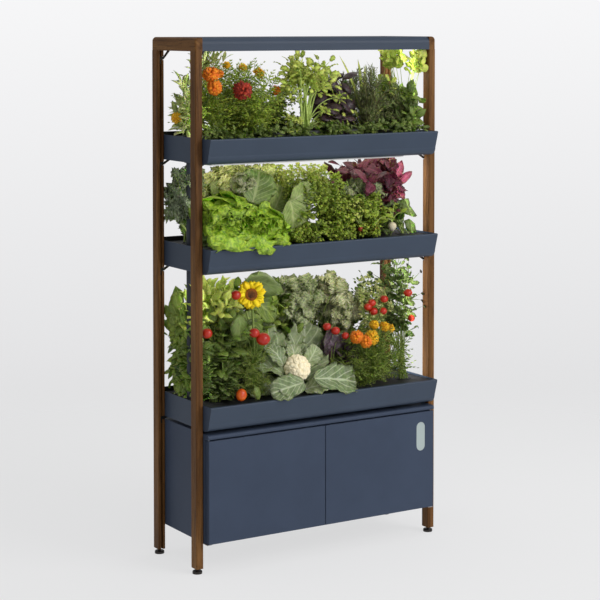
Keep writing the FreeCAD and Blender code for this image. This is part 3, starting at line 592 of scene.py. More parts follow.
def repeat_tree():
    tree = new_tree("repeat_shapes", [("Shapes", "Collection"), ("Finish", "Material")])
    source = tree.nodes["in"].outputs
    shapes = add_node(tree, "GeometryNodeCollectionInfo", {},
                      {"Collection": source["Shapes"], "Separate Children": True,
                       "Reset Children": True})
    inputs = {"Points": source["Geometry"], "Instance": shapes.outputs[0], "Pick Instance": True,
              "Instance Index": attribute(tree, "kind", "INT"),
              "Rotation": attribute(tree, "turn", "FLOAT_VECTOR"),
              "Scale": attribute(tree, "size", "FLOAT_VECTOR")}
    placed = add_node(tree, "GeometryNodeInstanceOnPoints", {}, inputs)
    finish_tree(tree, placed.outputs[0], source["Finish"])
    return tree


def stalk_tree():
    tree = new_tree("stalks_on_lines", [("Sides", "Int"), ("Finish", "Material")])
    source = tree.nodes["in"].outputs
    line = add_node(tree, "GeometryNodeMeshToCurve", {}, {0: source["Geometry"]})
    ring = add_node(tree, "GeometryNodeCurvePrimitiveCircle", {},
                    {"Resolution": source["Sides"], "Radius": 1.0})
    tube = add_node(tree, "GeometryNodeCurveToMesh", {},
                    {"Curve": line.outputs[0], "Profile Curve": ring.outputs[0],
                     "Scale": attribute(tree, "thick", "FLOAT"), "Fill Caps": True})
    finish_tree(tree, tube.outputs[0], source["Finish"])
    return tree


REPEAT = repeat_tree()
STALKS = stalk_tree()
print("trees:", ", ".join(tree.name for tree in bpy.data.node_groups))


# %% [markdown]
# A tree works on a mesh that carries it as a modifier. The modifier could stay, but each piece
# has to be a plain mesh for the export, so the evaluated mesh is copied and the carrier deleted.
# The shapes that a tree repeats wait in a collection that no scene shows.

# %% Running a tree, and the templates that it repeats
def run_tree(name, mesh, tree, values):
    """Run a tree on a mesh and keep the result as a piece with a plain mesh."""
    carrier = bpy.data.objects.new(name + "_points", mesh)
    bpy.context.collection.objects.link(carrier)
    modifier = carrier.modifiers.new("grow", "NODES")
    modifier.node_group = tree
    for item in tree.interface.items_tree:
        if item.in_out == "INPUT" and item.name in values:
            modifier[item.identifier] = values[item.name]
    depsgraph = bpy.context.evaluated_depsgraph_get()
    grown = bpy.data.meshes.new_from_object(carrier.evaluated_get(depsgraph))
    grown.name = name
    bpy.data.objects.remove(carrier)
    for extra in ("turn", "size", "kind", "thick"):
        if extra in grown.attributes:
            grown.attributes.remove(grown.attributes[extra])
    piece = bpy.data.objects.new(name, grown)
    bpy.context.collection.objects.link(piece)
    return piece


def collection_of(name, shapes):
    """Templates for repeats, in order, in a collection that no scene shows."""
    group = bpy.data.collections.new(name)
    for number, shape in enumerate(shapes):
        mesh = bpy.data.meshes.new("%s_%02d" % (name, number))
        mesh.from_pydata(shape.points.tolist(), [], shape.faces)
        layer = mesh.uv_layers.new(name="blade")
        corners = np.zeros(len(mesh.loops), dtype=int)
        mesh.loops.foreach_get("vertex_index", corners)
        layer.data.foreach_set("uv", shape.uvs[corners].ravel())
        group.objects.link(bpy.data.objects.new(mesh.name, mesh))
    return group


# %% [markdown]
# The bays over the trays have a floor and a roof that no leaf may pass. The net cups stand in two
# rows of six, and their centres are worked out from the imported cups' box, so every plant starts
# from the cup it grows in.

# %% Room over the trays, and where the cups are
LEVELS = ("upper", "middle", "lower")
RIMS = {level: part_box("tray_" + level)[1][2] for level in LEVELS}
TRAY_HEIGHT = RIMS["upper"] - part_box("tray_upper")[0][2]
LIP_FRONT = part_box("tray_upper")[0][1]
LIP_LEAN = 0.015
LIP_INSIDE = LIP_FRONT + 0.02
COVER_DROP = 0.006
CLEAR = 0.0015
TRAY_GAP = 0.012
CUP_FLANGE = 0.027
CUP_COLUMNS = 6
ROOFS = {"upper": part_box("light_diffusers")[1][2],
         "middle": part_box("tray_upper")[0][2] - TRAY_GAP,
         "lower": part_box("tray_middle")[0][2] - TRAY_GAP}
ROOM = {}
for level in LEVELS:
    ROOM[level] = (np.array((-0.43, LIP_FRONT - 0.016, RIMS[level] - 0.035)),
                   np.array((0.43, 0.17, ROOFS[level] - 0.004)))
    print(level, "tray: plants grow from", round(RIMS[level], 3), "to", round(ROOFS[level], 3))
cup_low, cup_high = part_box("net_cups")


def cup(level, column, row):
    """The top centre of a net cup. Row 0 is the front one."""
    step = (cup_high[0] - cup_low[0] - 2 * CUP_FLANGE) / (CUP_COLUMNS - 1)
    y = cup_low[1] + CUP_FLANGE if row == 0 else cup_high[1] - CUP_FLANGE
    return (cup_low[0] + CUP_FLANGE + column * step, y, RIMS[level] - COVER_DROP)


def cups(level, columns, rows):
    return [cup(level, column, row) for column in columns for row in rows]


# %% [markdown]
# What has sunk into a tray is laid on its cover or rim, and a leaf that hangs over the front lip
# is laid on the lip's outside. Directions are unit vectors, and the golden angle spreads leaves,
# petals and florets round an axis, as it does on many real plants.

# %% Directions, stalk lines and resting on the tray
GOLDEN = math.pi * (3 - math.sqrt(5))
UPWARDS = (0.0, -0.35, 1.0)
FORWARDS = (0.0, -1.0, 0.45)


def settle(mesh, level, hang):
    """Lay what has sunk into a tray on its cover or rim, or let it hang outside the front lip."""
    points = np.empty(len(mesh.vertices) * 3)
    mesh.vertices.foreach_get("co", points)
    points = points.reshape(-1, 3)
    rim = RIMS[level]
    y, z = points[:, 1], points[:, 2]
    lip = LIP_FRONT + LIP_LEAN * np.clip((rim - z) / TRAY_HEIGHT, 0.0, 1.0) - CLEAR
    floor = np.where(y < LIP_INSIDE, rim, rim - COVER_DROP) + CLEAR
    sunk = (z < floor) & ((y > lip) | (not hang))
    outside = sunk & (y - lip < floor - z) & hang
    points[outside, 1] = lip[outside]
    points[sunk & ~outside, 2] = floor[sunk & ~outside]
    points = np.clip(points, *ROOM[level])
    mesh.vertices.foreach_set("co", points.ravel())
    mesh.update()


def unit(vector):
    vector = np.asarray(vector, dtype=float)
    return vector / (np.linalg.norm(vector) + 1e-9)


def around(axis, angle):
    """A direction square to an axis, at an angle round it."""
    axis = unit(axis)
    first = unit(np.cross(axis, (0.31, 0.95, 0.05)))
    second = np.cross(axis, first)
    return math.cos(angle) * first + math.sin(angle) * second


def arch(start, end, rise=0.6, count=8):
    """A stalk's line: it leaves its start upwards and bends over to its end."""
    start, end = np.asarray(start, dtype=float), np.asarray(end, dtype=float)
    reach = end - start
    middle = np.array([start[0] + reach[0] * 0.25, start[1] + reach[1] * 0.25,
                       start[2] + reach[2] * rise + abs(reach[0]) * 0.2])
    t = np.linspace(0, 1, count)[:, None]
    return start * (1 - t) ** 2 + middle * 2 * t * (1 - t) + end * t ** 2


# %% [markdown]
# A plant collects its leaves and stalks while it is planned, in lists, and is made in one go at
# the end. For each leaf, along is where it points, and facing is where its upper face looks. Most
# plants are bushes: stems that fan out from the cups to points all over a crown, with leaves
# along them.

# %% A plant
SINGLE_STALK = 0.0022
SINGLE_KINDS = 5
NARROWING = 0.4


class Plant:
    """Leaves and stalks of one plant. All its random choices come from its own seed."""

    def __init__(self, seed, level=None):
        self.random = np.random.default_rng(seed)
        self.level = level
        self.leaves = []
        self.stalks = []

    def leaf(self, place, along, facing, size, kind=0, tint=None, wide=1.0):
        """One leaf. Its tint, from dark to light, is drawn unless it is given."""
        tint = self.random.uniform(0.0, 1.0) if tint is None else tint
        self.leaves.append((*place, *along, *facing, size * wide, size, size, kind, tint))

    def stalk(self, line, thick, tip=NARROWING):
        """A line that becomes a tube, from its full thickness to a share of it at its tip."""
        self.stalks.append((np.asarray(line), thick * np.linspace(1.0, tip, len(line))))

    def singles(self, start, rows, kind=None):
        """Leaves on stalks of their own from a cup. A row is where a blade begins, along, facing,
        size and width, and the shape is drawn where no kind is given."""
        for base, along, facing, size, wide in rows:
            pick = self.random.integers(SINGLE_KINDS) if kind is None else kind
            self.stalk(arch(start, base, 0.7), SINGLE_STALK, 0.8)
            self.leaf(base, along, facing, size, pick, wide=wide)

    def stem(self, line, thick, tip, count, size, start=0.2, spread=1.0, rise=0.25, kinds=3,
             look=UPWARDS):
        """A stalk with leaves round it, largest in the middle, and one at its tip."""
        self.stalk(line, thick, tip)
        turn = self.random.uniform(0, 2 * math.pi)
        for step in range(count):
            share = start + (1 - start) * (step + 0.5) / count
            spot = share * (len(line) - 1)
            low = min(int(spot), len(line) - 2)
            place = line[low] + (line[low + 1] - line[low]) * (spot - low)
            axis = unit(line[low + 1] - line[low])
            turn += GOLDEN + self.random.normal(0, 0.2)
            out = around(axis, turn)
            wide = spread + self.random.normal(0, 0.2)
            along = math.cos(wide) * axis + math.sin(wide) * out + np.array([0, 0, rise])
            length = size * self.random.uniform(0.7, 1.1) * (1.0 - 0.35 * abs(share - 0.6))
            facing = np.array(look) + 0.4 * axis + self.random.normal(0, 0.3, 3)
            self.leaf(place, along, facing, length, self.random.integers(kinds))
        facing = np.array(look) + self.random.normal(0, 0.5, 3)
        self.leaf(line[-1], line[-1] - line[-2], facing, size * 0.8, self.random.integers(kinds))

    def tips(self, low, high, count, shell=0.45, floor=0.0, square=3.0):
        """Points inside a box's rounded crown, more near its surface, none below a share of it."""
        low, high = np.asarray(low), np.asarray(high)
        points = []
        while len(points) < count:
            spot = self.random.normal(0, 1, 3)
            spot /= np.sum(np.abs(spot) ** square) ** (1 / square)
            spot *= self.random.uniform(0, 1) ** shell
            if spot[2] >= 2 * floor - 1:
                points.append((low + high) / 2 + spot * (high - low) / 2)
        return points

    def bush(self, roots, low, high, stems, leaves, size, thick=0.0016, shell=0.35, floor=0.0,
             arc=0.55, square=3.0, **look):
        """Stems from the nearest of the roots to points all over a crown, with leaves on them."""
        for tip in self.tips(low, high, stems, shell, floor, square):
            near = min(roots, key=lambda root: (root[0] - tip[0]) ** 2 + (root[1] - tip[1]) ** 2)
            start = np.array(near) + np.append(self.random.normal(0, 0.008, 2), 0.0)
            self.stem(arch(start, tip, arc), thick, NARROWING, leaves, size, **look)


# %% [markdown]
# The lists become the points and lines that the two trees work on. A leaf that would leave its
# bay is made smaller, or left out if little of it would remain. A leaf's turn is worked out from
# the two directions, as angles about X, Y and Z.

# %% Leaves and stalks as meshes
LEAF_REACH = 0.9
LEAST_SHARE = 0.45
NO_LIMIT = 9.0


def make_leaves(plant, name, shapes, material, hang=False):
    """A plant's leaves as one piece, inside its bay where the plant has a tray."""
    rows = np.array(plant.leaves)
    along = rows[:, 3:6] / np.linalg.norm(rows[:, 3:6], axis=1, keepdims=True)
    if plant.level:
        low, high = ROOM[plant.level]
        reach = along * rows[:, 10:11] * LEAF_REACH
        room = np.where(reach > 0, high - rows[:, :3], low - rows[:, :3])
        moves = np.abs(reach) > 1e-5
        share = np.where(moves, room / np.where(moves, reach, 1.0), NO_LIMIT).min(axis=1)
        share = np.minimum(share, 1.0)
        rows[:, 9:12] *= np.maximum(share, 0.0)[:, None]
        rows, along = rows[share > LEAST_SHARE], along[share > LEAST_SHARE]
    across = np.cross(along, rows[:, 6:9])
    across /= np.linalg.norm(across, axis=1, keepdims=True) + 1e-9
    upper = np.cross(across, along)
    turn = np.stack([np.arctan2(along[:, 2], upper[:, 2]),
                     -np.arcsin(np.clip(across[:, 2], -1, 1)),
                     np.arctan2(across[:, 1], across[:, 0])], axis=1)
    mesh = bpy.data.meshes.new(name + "_points")
    mesh.from_pydata(rows[:, :3].tolist(), [], [])
    for label, kind, slot, values in (
            ("turn", "FLOAT_VECTOR", "vector", turn.ravel()),
            ("size", "FLOAT_VECTOR", "vector", rows[:, 9:12].ravel()),
            ("kind", "INT", "value", rows[:, 12].astype(int)),
            ("tint", "FLOAT", "value", rows[:, 13])):
        mesh.attributes.new(label, kind, "POINT").data.foreach_set(slot, values)
    values = {"Shapes": collection_of(name + "_shapes", shapes), "Finish": material}
    piece = run_tree(name, mesh, REPEAT, values)
    if plant.level:
        settle(piece.data, plant.level, hang)
    return piece


def make_stalks(plant, name, material, sides=5):
    """A plant's stalks as one piece."""
    points, edges, thick = [], [], []
    for line, width in plant.stalks:
        first = len(points)
        points += line.tolist()
        thick += width.tolist()
        edges += [(first + k, first + k + 1) for k in range(len(line) - 1)]
    mesh = bpy.data.meshes.new(name + "_lines")
    mesh.from_pydata(points, edges, [])
    mesh.attributes.new("thick", "FLOAT", "POINT").data.foreach_set("value", thick)
    return run_tree(name, mesh, STALKS, {"Sides": sides, "Finish": material})


# %% [markdown]
# Leaf colour is never flat: veins are paler than the blade, the blade is mottled, and every leaf
# differs from its neighbours. The vein pattern comes from the leaf's own UV map, u across and v
# along it, and the difference between leaves from the tint attribute. Where a leaf is crumpled,
# its colour follows the puffs too: lighter on their crests and darker in their hollows, as
# painted highlight and painted shade.

# %% Leaf and stalk finishes
LEAF_GLOW = 0.35


def tones(*colours):
    """Linear colours from display values out of 255."""
    return [tuple((channel / 255.0) ** 2.2 for channel in colour) for colour in colours]


def leaf_finish(name, dark, light, vein, veins=7.0, vein_strength=0.5, roughness=0.45,
                crumple=0.0):
    """A leaf's surface, from its darkest and lightest tone and the colour of its veins. Crumple
    raises puffs and paints their hollows darker, as shade.
    """
    leaf = Finish(name, Subsurface_Weight=LEAF_GLOW, Subsurface_Scale=0.004,
                  Subsurface_Radius=(0.5, 1.0, 0.2))
    dark, light, vein = tones(dark, light, vein)
    coordinates = leaf.node("UVMap", {"uv_map": "blade"}, {})
    across, along = (leaf.node("SeparateXYZ", {}, {0: coordinates}, part) for part in (0, 1))
    aside = (across - 0.5).math("ABSOLUTE", across - 0.5) * 2.0
    rib = 1.0 - aside.step(0.02, 0.12)
    slant = (along * veins - aside * veins * 0.45) * 2 * math.pi
    side_veins = slant.math("SINE", slant).step(0.72, 1.0) * (1.0 - aside.step(0.75, 1.0))
    lines = rib.math("MAXIMUM", rib, side_veins * 0.75)
    tint = leaf.node("Attribute", {"attribute_name": "tint"}, {}, "Fac")
    cloud = leaf.noise(leaf.place(), 60.0, 3.0, 0.6)
    puffs_and_shade = leaf.noise(leaf.place(), 120.0, 2.0, 0.5)
    # The puffs also colour the leaf: painted highlight on their crests, painted shade in their
    # hollows.
    depth = min(crumple * 0.12, 0.5)
    shade = tint * (0.65 - depth) + cloud.step(0.3, 0.7) * 0.35 + puffs_and_shade.step(0.35, 0.65) * depth
    leaf.colour(leaf.mix(lines * vein_strength, leaf.mix(shade, dark, light), vein))
    leaf.roughness(roughness + cloud * 0.15)
    leaf.bump(cloud * 0.4 - lines + puffs_and_shade * crumple, 0.0006, 0.7)
    return leaf.material


def plain_finish(name, dark, light, roughness=0.5, scale=40.0, **constants):
    """A stalk, petal or fruit: two tones in a soft cloud, and by tint where it is set."""
    skin = Finish(name, **constants)
    cloud = skin.noise(skin.place(), scale, 3.0, 0.6)
    tint = skin.node("Attribute", {"attribute_name": "tint"}, {}, "Fac")
    skin.colour(skin.mix(cloud.step(0.3, 0.7) * 0.5 + tint * 0.5, *tones(dark, light)))
    skin.roughness(roughness + cloud * 0.1)
    skin.bump(cloud, 0.0004, 0.5)
    return skin.material


MID = leaf_finish("pepper_green_leaf", (46, 66, 22), (122, 144, 58), (150, 166, 90))
GREEN = leaf_finish("mid_green_leaf", (66, 88, 26), (150, 172, 66), (176, 190, 104))
HERB = leaf_finish("herb_green_leaf", (88, 114, 24), (178, 202, 62), (188, 206, 100))
LIGHT = leaf_finish("light_green_leaf", (98, 138, 22), (184, 220, 62), (196, 224, 96),
                    vein_strength=0.25, crumple=5.0)
BRIGHT = leaf_finish("celery_green_leaf", (156, 184, 54), (228, 242, 112), (234, 243, 152))
SAGE = leaf_finish("sage_leaf", (150, 164, 84), (220, 230, 146), (228, 234, 176))
COLLARD = leaf_finish("collard_leaf", (80, 102, 44), (152, 170, 92), (196, 204, 142), crumple=1.0)
DARK = leaf_finish("dark_green_leaf", (44, 60, 24), (112, 130, 64), (136, 152, 88))
BLUE = leaf_finish("kale_blue_leaf", (84, 106, 72), (184, 198, 150), (196, 208, 166), crumple=3.0)
PALE = leaf_finish("kale_pale_leaf", (128, 152, 60), (238, 244, 150), (242, 246, 184), crumple=3.0)
CURLY = leaf_finish("curly_kale_leaf", (88, 108, 62), (188, 198, 140), (200, 208, 160), crumple=3.0)
FROSTED = leaf_finish("frosted_kale_leaf", (116, 134, 78), (226, 230, 168), (228, 232, 184),
                      crumple=3.0)
BLOOM = leaf_finish("cabbage_grey_leaf", (92, 110, 70), (154, 168, 118), (206, 216, 178),
                    veins=5.0, vein_strength=0.6, crumple=1.5)
PURPLE = leaf_finish("basil_purple_leaf", (24, 15, 19), (72, 50, 56), (92, 66, 74), roughness=0.35)
VIOLET = leaf_finish("violet_leaf", (30, 20, 26), (92, 70, 84), (110, 84, 98), roughness=0.35,
                     crumple=4.0)
MAROON = leaf_finish("amaranth_leaf", (44, 20, 26), (122, 46, 66), (164, 84, 108), roughness=0.35)
DUSTY = leaf_finish("rosemary_leaf", (64, 72, 40), (146, 152, 96), (150, 156, 108))
STALK = plain_finish("green_stalk", (104, 128, 52), (176, 192, 108))
PALE_STALK = plain_finish("pale_stalk", (154, 180, 78), (218, 229, 144))
DARK_STALK = plain_finish("purple_stalk", (60, 28, 32), (128, 66, 70))
WOODY = plain_finish("woody_stalk", (80, 70, 40), (140, 130, 86))
print("finishes so far:", len(bpy.data.materials))

# %% [markdown]
# Petals are small blades too. A marigold head is a dome of ruffled petals set by the golden
# angle, the way a real head packs them. The sunflower has two rings of long petals round a disc
# of small florets, and its petals have a faint painted glow.

# %% Flower heads and fruit
ORANGE = plain_finish("orange_petals", (232, 92, 6), (255, 160, 22), 0.6, 90.0)
YELLOW = plain_finish("yellow_petals", (240, 158, 8), (255, 212, 30), 0.6, 90.0)
RED = plain_finish("dark_red_petals", (96, 10, 8), (196, 58, 18), 0.6, 130.0)
# The sunflower's rays have a faint orange emission: a painted glow that brightens them.
SUN = plain_finish("sunflower_petals", (255, 206, 0), (255, 236, 0), 0.55, 60.0,
                   Emission_Color=(1.0, 0.62, 0.0, 1.0), Emission_Strength=0.06)
SEEDS = plain_finish("sunflower_disc", (52, 28, 10), (164, 96, 22), 0.7, 90.0)
FRUIT = plain_finish("ripe_tomato", (160, 22, 12), (206, 58, 34), 0.25, 30.0)
PEPPER = plain_finish("ripening_pepper", (184, 36, 8), (232, 116, 26), 0.25, 50.0)
RADISH = plain_finish("radish_skin", (176, 40, 34), (224, 96, 80), 0.35, 50.0)
TURNIP = plain_finish("turnip_skin", (206, 190, 150), (244, 236, 212), 0.4, 50.0)
CURD = plain_finish("cauliflower_curd", (252, 230, 184), (255, 247, 214), 0.6, 120.0)


def variants(count, *sizes, **looks):
    """Blades of one kind that differ by the seed of their ruffles."""
    return [blade(*sizes, seed=seed, **looks) for seed in range(count)]


PETAL_COUNT = 90
DOME_SHARE = 1.25
PETALS = variants(3, 2, 2, 0.8, 0.72, 0.45, 0.6, 0.1, ruffle=0.25, waves=1.4, thickness=0.03)
RAYS = variants(2, 4, 2, 0.34, 0.45, 0.7, 0.35, 0.25, thickness=0.02)
SEPAL = blade(2, 2, 0.3, 0.35, 0.7, 1.4, 0.2, thickness=0.03)
CALYX = joined([SEPAL.placed((0, 0, 0.92), step * 1.2566) for step in range(5)])


def pompon(plant, centre, facing, radius):
    """A dome of petals that overlap like tiles round the direction that the head faces."""
    facing = unit(facing)
    for step in range(PETAL_COUNT):
        polar = math.acos(1 - DOME_SHARE * (step + 0.5) / PETAL_COUNT)
        out = around(facing, step * GOLDEN)
        dome = math.cos(polar) * facing + math.sin(polar) * out
        place = np.array(centre) + dome * radius * 0.45 - out * radius * 0.16
        along = 0.65 * out + 0.6 * dome + plant.random.normal(0, 0.1, 3)
        size = radius * plant.random.uniform(0.62, 0.78)
        plant.leaf(place, along, dome + 0.4 * facing, size, plant.random.integers(len(PETALS)))


def globe(rings, sides, squash=1.0, ribs=0, depth=0.0, tail=0.0):
    """A closed round fruit of radius one, its stalk end up, with ribs or a pointed lower end."""
    points, faces = [(0, 0, -squash - tail)], []
    for ring_number in range(1, rings):
        polar = math.pi * (1 - ring_number / rings)
        height = math.cos(polar) * squash - tail * max(-math.cos(polar), 0) ** 4
        for side in range(sides):
            turn = 2 * math.pi * side / sides
            bulge = 1 - depth * abs(math.sin(ribs * turn / 2)) if ribs else 1.0
            points.append((math.sin(polar) * math.cos(turn) * bulge,
                           math.sin(polar) * math.sin(turn) * bulge, height))
    points.append((0, 0, squash * 0.9))
    last = len(points) - 1
    top = last - sides
    for side in range(sides):
        following = (side + 1) % sides
        faces += [(0, 1 + following, 1 + side), (last, top + side, top + following)]
        for first in range(1, top, sides):
            faces.append((first + side, first + following, first + sides + following,
                          first + sides + side))
    return Shape(points, faces, [(0.5, 0.5)] * len(points))


def fruit(plant, centre, radius, lean=(0, 0, 1)):
    """A fruit of the given radius. Its stalk end points along lean."""
    plant.leaf(centre, around(lean, plant.random.uniform(0, 6)), lean, radius)


# %% [markdown]
# Leaf shapes that several plants share: small and narrow, oval, round, finely cut, frilled and
# broad. Frills take the most cells, because each one is a wave of the leaf's edge. A compound
# leaf is three leaflets on one stalk, or a feather of them.

# %% Leaf shapes
def threes(leaves, middle, sides, turn):
    """Each leaf as a compound of three."""
    return [joined([leaf.placed((0, 0.05, 0), angle, -0.1, size) for angle, size in
                    ((0.0, middle), (turn, sides), (-turn, sides))]) for leaf in leaves]


NARROW = blade(2, 2, 0.28, 0.5, 0.9, 0.4, 0.2, thickness=0.03)
MARIGOLD = [feather(4, NARROW, 0.44, 1.0, curl=0.1), feather(4, NARROW, 0.4, 0.85, curl=0.4)]
OVAL = variants(3, 5, 4, 0.6, 0.42, 0.75, 0.8, 0.1, cup=-0.25, ruffle=0.06, crinkle=0.05,
                thickness=0.02)
ROUND = variants(3, 6, 6, 1.05, 0.5, 0.5, 0.6, 0.05, cup=-0.15, ruffle=0.14, waves=1.6, lobes=2,
                 lobe_depth=0.16, thickness=0.02)
TRIPLE = threes(variants(2, 6, 2, 0.95, 0.5, 0.6, 0.6, 0.15, ruffle=0.1, lobes=3, lobe_depth=0.45,
                         thickness=0.03), 0.66, 0.54, 1.1)
CELERY = [feather(2, leaf, 0.5, 0.95, start=0.35, tip=1.2, curl=0.2) for leaf in
          variants(2, 7, 2, 0.9, 0.55, 0.55, 0.5, 0.15, ruffle=0.1, lobes=3, lobe_depth=0.5,
                   thickness=0.03)]
COMPOUND = [feather(2, leaf, 0.5, 0.9, tip=0.6) for leaf in
            variants(2, 4, 2, 0.6, 0.45, 0.8, 0.6, 0.15, ruffle=0.12, lobes=2, lobe_depth=0.3,
                     thickness=0.03)]
CUT = threes(variants(3, 3, 2, 0.8, 0.55, 0.5, 0.8, 0.2, ruffle=0.25, lobes=2, lobe_depth=0.55,
                      thickness=0.04), 0.62, 0.55, 1.2)
FRILL = variants(5, 40, 6, 0.9, 0.58, 0.32, 1.5, 0.05, cup=-0.2, ruffle=0.3, waves=4.6,
                 crinkle=0.12, lobes=8, lobe_depth=0.22, thickness=0.014)
BROAD = variants(5, 16, 10, 0.74, 0.5, 0.6, 0.7, 0.12, cup=0.1, ruffle=0.13, waves=2.4,
                 crinkle=0.04)
CUPPED = variants(3, 9, 8, 0.76, 0.5, 0.55, 1.3, 0.1, cup=-0.5, ruffle=0.08, waves=2.0,
                  crinkle=0.06, thickness=0.02)
LETTUCE = variants(5, 28, 14, 1.05, 0.66, 0.36, 2.5, 0.05, cup=-0.3, ruffle=0.14, waves=2.8,
                   crinkle=0.06, late=1.35)
DRAPE = variants(5, 30, 16, 0.74, 0.6, 0.4, -0.35, 0.05, cup=-0.4, ruffle=0.21, crinkle=0.06,
                 late=1.5)
POINTED = variants(3, 6, 4, 0.6, 0.4, 0.95, 1.0, 0.15, cup=-0.3, ruffle=0.06, waves=2.0,
                   crinkle=0.06, thickness=0.015)
BLISTERED = variants(3, 18, 12, 0.62, 0.5, 0.75, 0.7, 0.12, ruffle=0.08, waves=2.6, crinkle=0.13)
NEEDLE = variants(1, 2, 2, 0.15, 0.5, 0.6, 0.3, 0.3, thickness=0.04)
SPEAR = variants(3, 6, 4, 0.52, 0.45, 0.8, 0.6, 0.15, ruffle=0.09, thickness=0.02)
LONG = variants(3, 5, 2, 0.3, 0.5, 0.8, 0.6, 0.2, ruffle=0.05, thickness=0.02)
RIBBON = [blade(10, 2, 0.045, 0.3, 0.5, bend, 0.3, thickness=0.006) for bend in (0.5, 1.1)]
WAVY = [blade(24, 12, 0.8, 0.55, 0.42, bend, 0.12, cup=0.1, ruffle=0.12, waves=2.6, crinkle=0.04,
              lobes=4, lobe_depth=0.03, seed=seed, thickness=0.008)
        for seed, bend in enumerate((0.9, 1.3, 0.5, 1.1))]

# %% [markdown]
# Every finished piece rides with the frame, and one of each plant stands for that plant's packed
# solid. Most plants differ only by where their crowns are, how dense they are and which leaf they
# have, so one function grows them from a row of those numbers.

# %% Keeping a piece, and growing a whole plant
FRONT, REAR, BOTH = (0,), (1,), (0, 1)
FINE = 0.0011
KALE = {"thick": 0.003, "spread": 0.7, "kinds": 5, "start": 0.8, "rise": 0.0, "look": FORWARDS}
CURLS = dict(KALE, spread=0.6, start=0.75)
LAWN = {"thick": FINE, "start": 0.15, "shell": 0.25}
PETAL_COLOURS = ((ORANGE, "orange"), (RED, "red"), (YELLOW, "yellow"))


def keep(piece, node=None):
    """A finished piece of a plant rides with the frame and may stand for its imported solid."""
    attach(piece, "root")
    if node:
        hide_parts(node)
    print(piece.name, "triangles", sum(len(face.vertices) - 2 for face in piece.data.polygons))


def keep_plant(plant, word, shapes, finish, node=None, stalks=STALK, sides=5):
    """A plant's leaves and its stalks, as two pieces."""
    keep(make_leaves(plant, word + "_leaves", shapes, finish), node)
    keep(make_stalks(plant, word + "_stalks", stalks, sides))


def grow(word, seed, level, columns, rows, crowns, shapes, finish, slot, node=None, stalks=STALK,
         sides=5, **look):
    """A plant of bushes only. A crown is its box, stems, leaves on a stem, leaf size and, where
    it has them, looks of its own."""
    plant = Plant(seed, level)
    for low, high, stems, leaves, size, *own in crowns:
        looks = dict(look, **dict(*own))
        plant.bush(cups(level, columns, rows), low, high, stems, leaves, size, **looks)
    keep_plant(plant, word, shapes, finish, node, stalks, sides)


def flower_heads(word, seed, heads, plant, root):
    """The heads of each colour as a piece of their own, on stalks that belong to the plant."""
    for number, (petals, colour) in enumerate(PETAL_COLOURS):
        bunch = Plant(seed + number)
        for kind, centre, radius, facing in heads:
            if kind == number:
                pompon(bunch, centre, facing, radius)
                plant.stalk(arch(root, centre), 0.0016, 1.0)
        if bunch.leaves:
            name = "%s_%s_heads" % (word, colour)
            keep(make_leaves(bunch, name, PETALS, petals))


# %% [markdown]
# The upper tray holds a bush of marigolds, celery, purple basil, rosemary and nasturtium.

# %% Upper tray: marigolds
bed = Plant(11, "upper")
low, high = np.array(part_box("marigold_plant"))
bed.bush(cups("upper", (0, 1), BOTH), low + (high - low) * (0.1, 0.0, 0.0),
         low + (high - low) * (1.0, 1.0, 0.93), 160, 6, 0.064, thick=0.0012, start=0.15,
         spread=1.1, kinds=2)
flower_heads("marigold", 12, (
    (0, (-0.386, -0.09, 1.56), 0.031, (-0.5, -0.8, 0.7)),
    (0, (-0.384, -0.11, 1.52), 0.027, (-0.7, -0.7, 0.0)),
    (1, (-0.294, -0.13, 1.51), 0.034, (-0.3, -1.0, 0.2)),
    (2, (-0.29, -0.02, 1.588), 0.015, (-0.2, -0.5, 0.9)),
    (2, (-0.229, -0.02, 1.58), 0.016, (0.2, -0.6, 0.9)),
    (2, (-0.171, -0.02, 1.56), 0.023, (0.4, -0.7, 0.6)),
    (0, (-0.325, -0.04, 1.562), 0.015, (0.0, -0.8, 0.6)),
    (0, (-0.132, -0.06, 1.507), 0.019, (0.6, -0.8, 0.2)),
    (2, (-0.428, 0.06, 1.42), 0.021, (-1.0, -0.3, 0.2)),
), bed, (np.array(cup("upper", 1, 0)) + cup("upper", 0, 1)) * 0.5)
keep_plant(bed, "marigold", MARIGOLD, HERB, "marigold_plant")
grow("sage", 15, "upper", (0,), REAR, (
    ((-0.405, -0.06, 1.56), (-0.3, 0.01, 1.645), 16, 5, 0.05,
     {"spread": 0.8, "start": 0.7, "floor": 0.25}),
    ((-0.44, -0.03, 1.375), (-0.375, 0.13, 1.55), 20, 5, 0.07, {"start": 0.3})),
    LONG, SAGE, "leaf_green")

# %% [markdown]
# Celery is a bunch of stout pale ribs from one heart, with cut leaves only near their tips. So its
# stems are thicker, more upright and bare for three quarters of their length. Small shoots and a
# finer herb fill the space below and behind, as they do in the photograph.

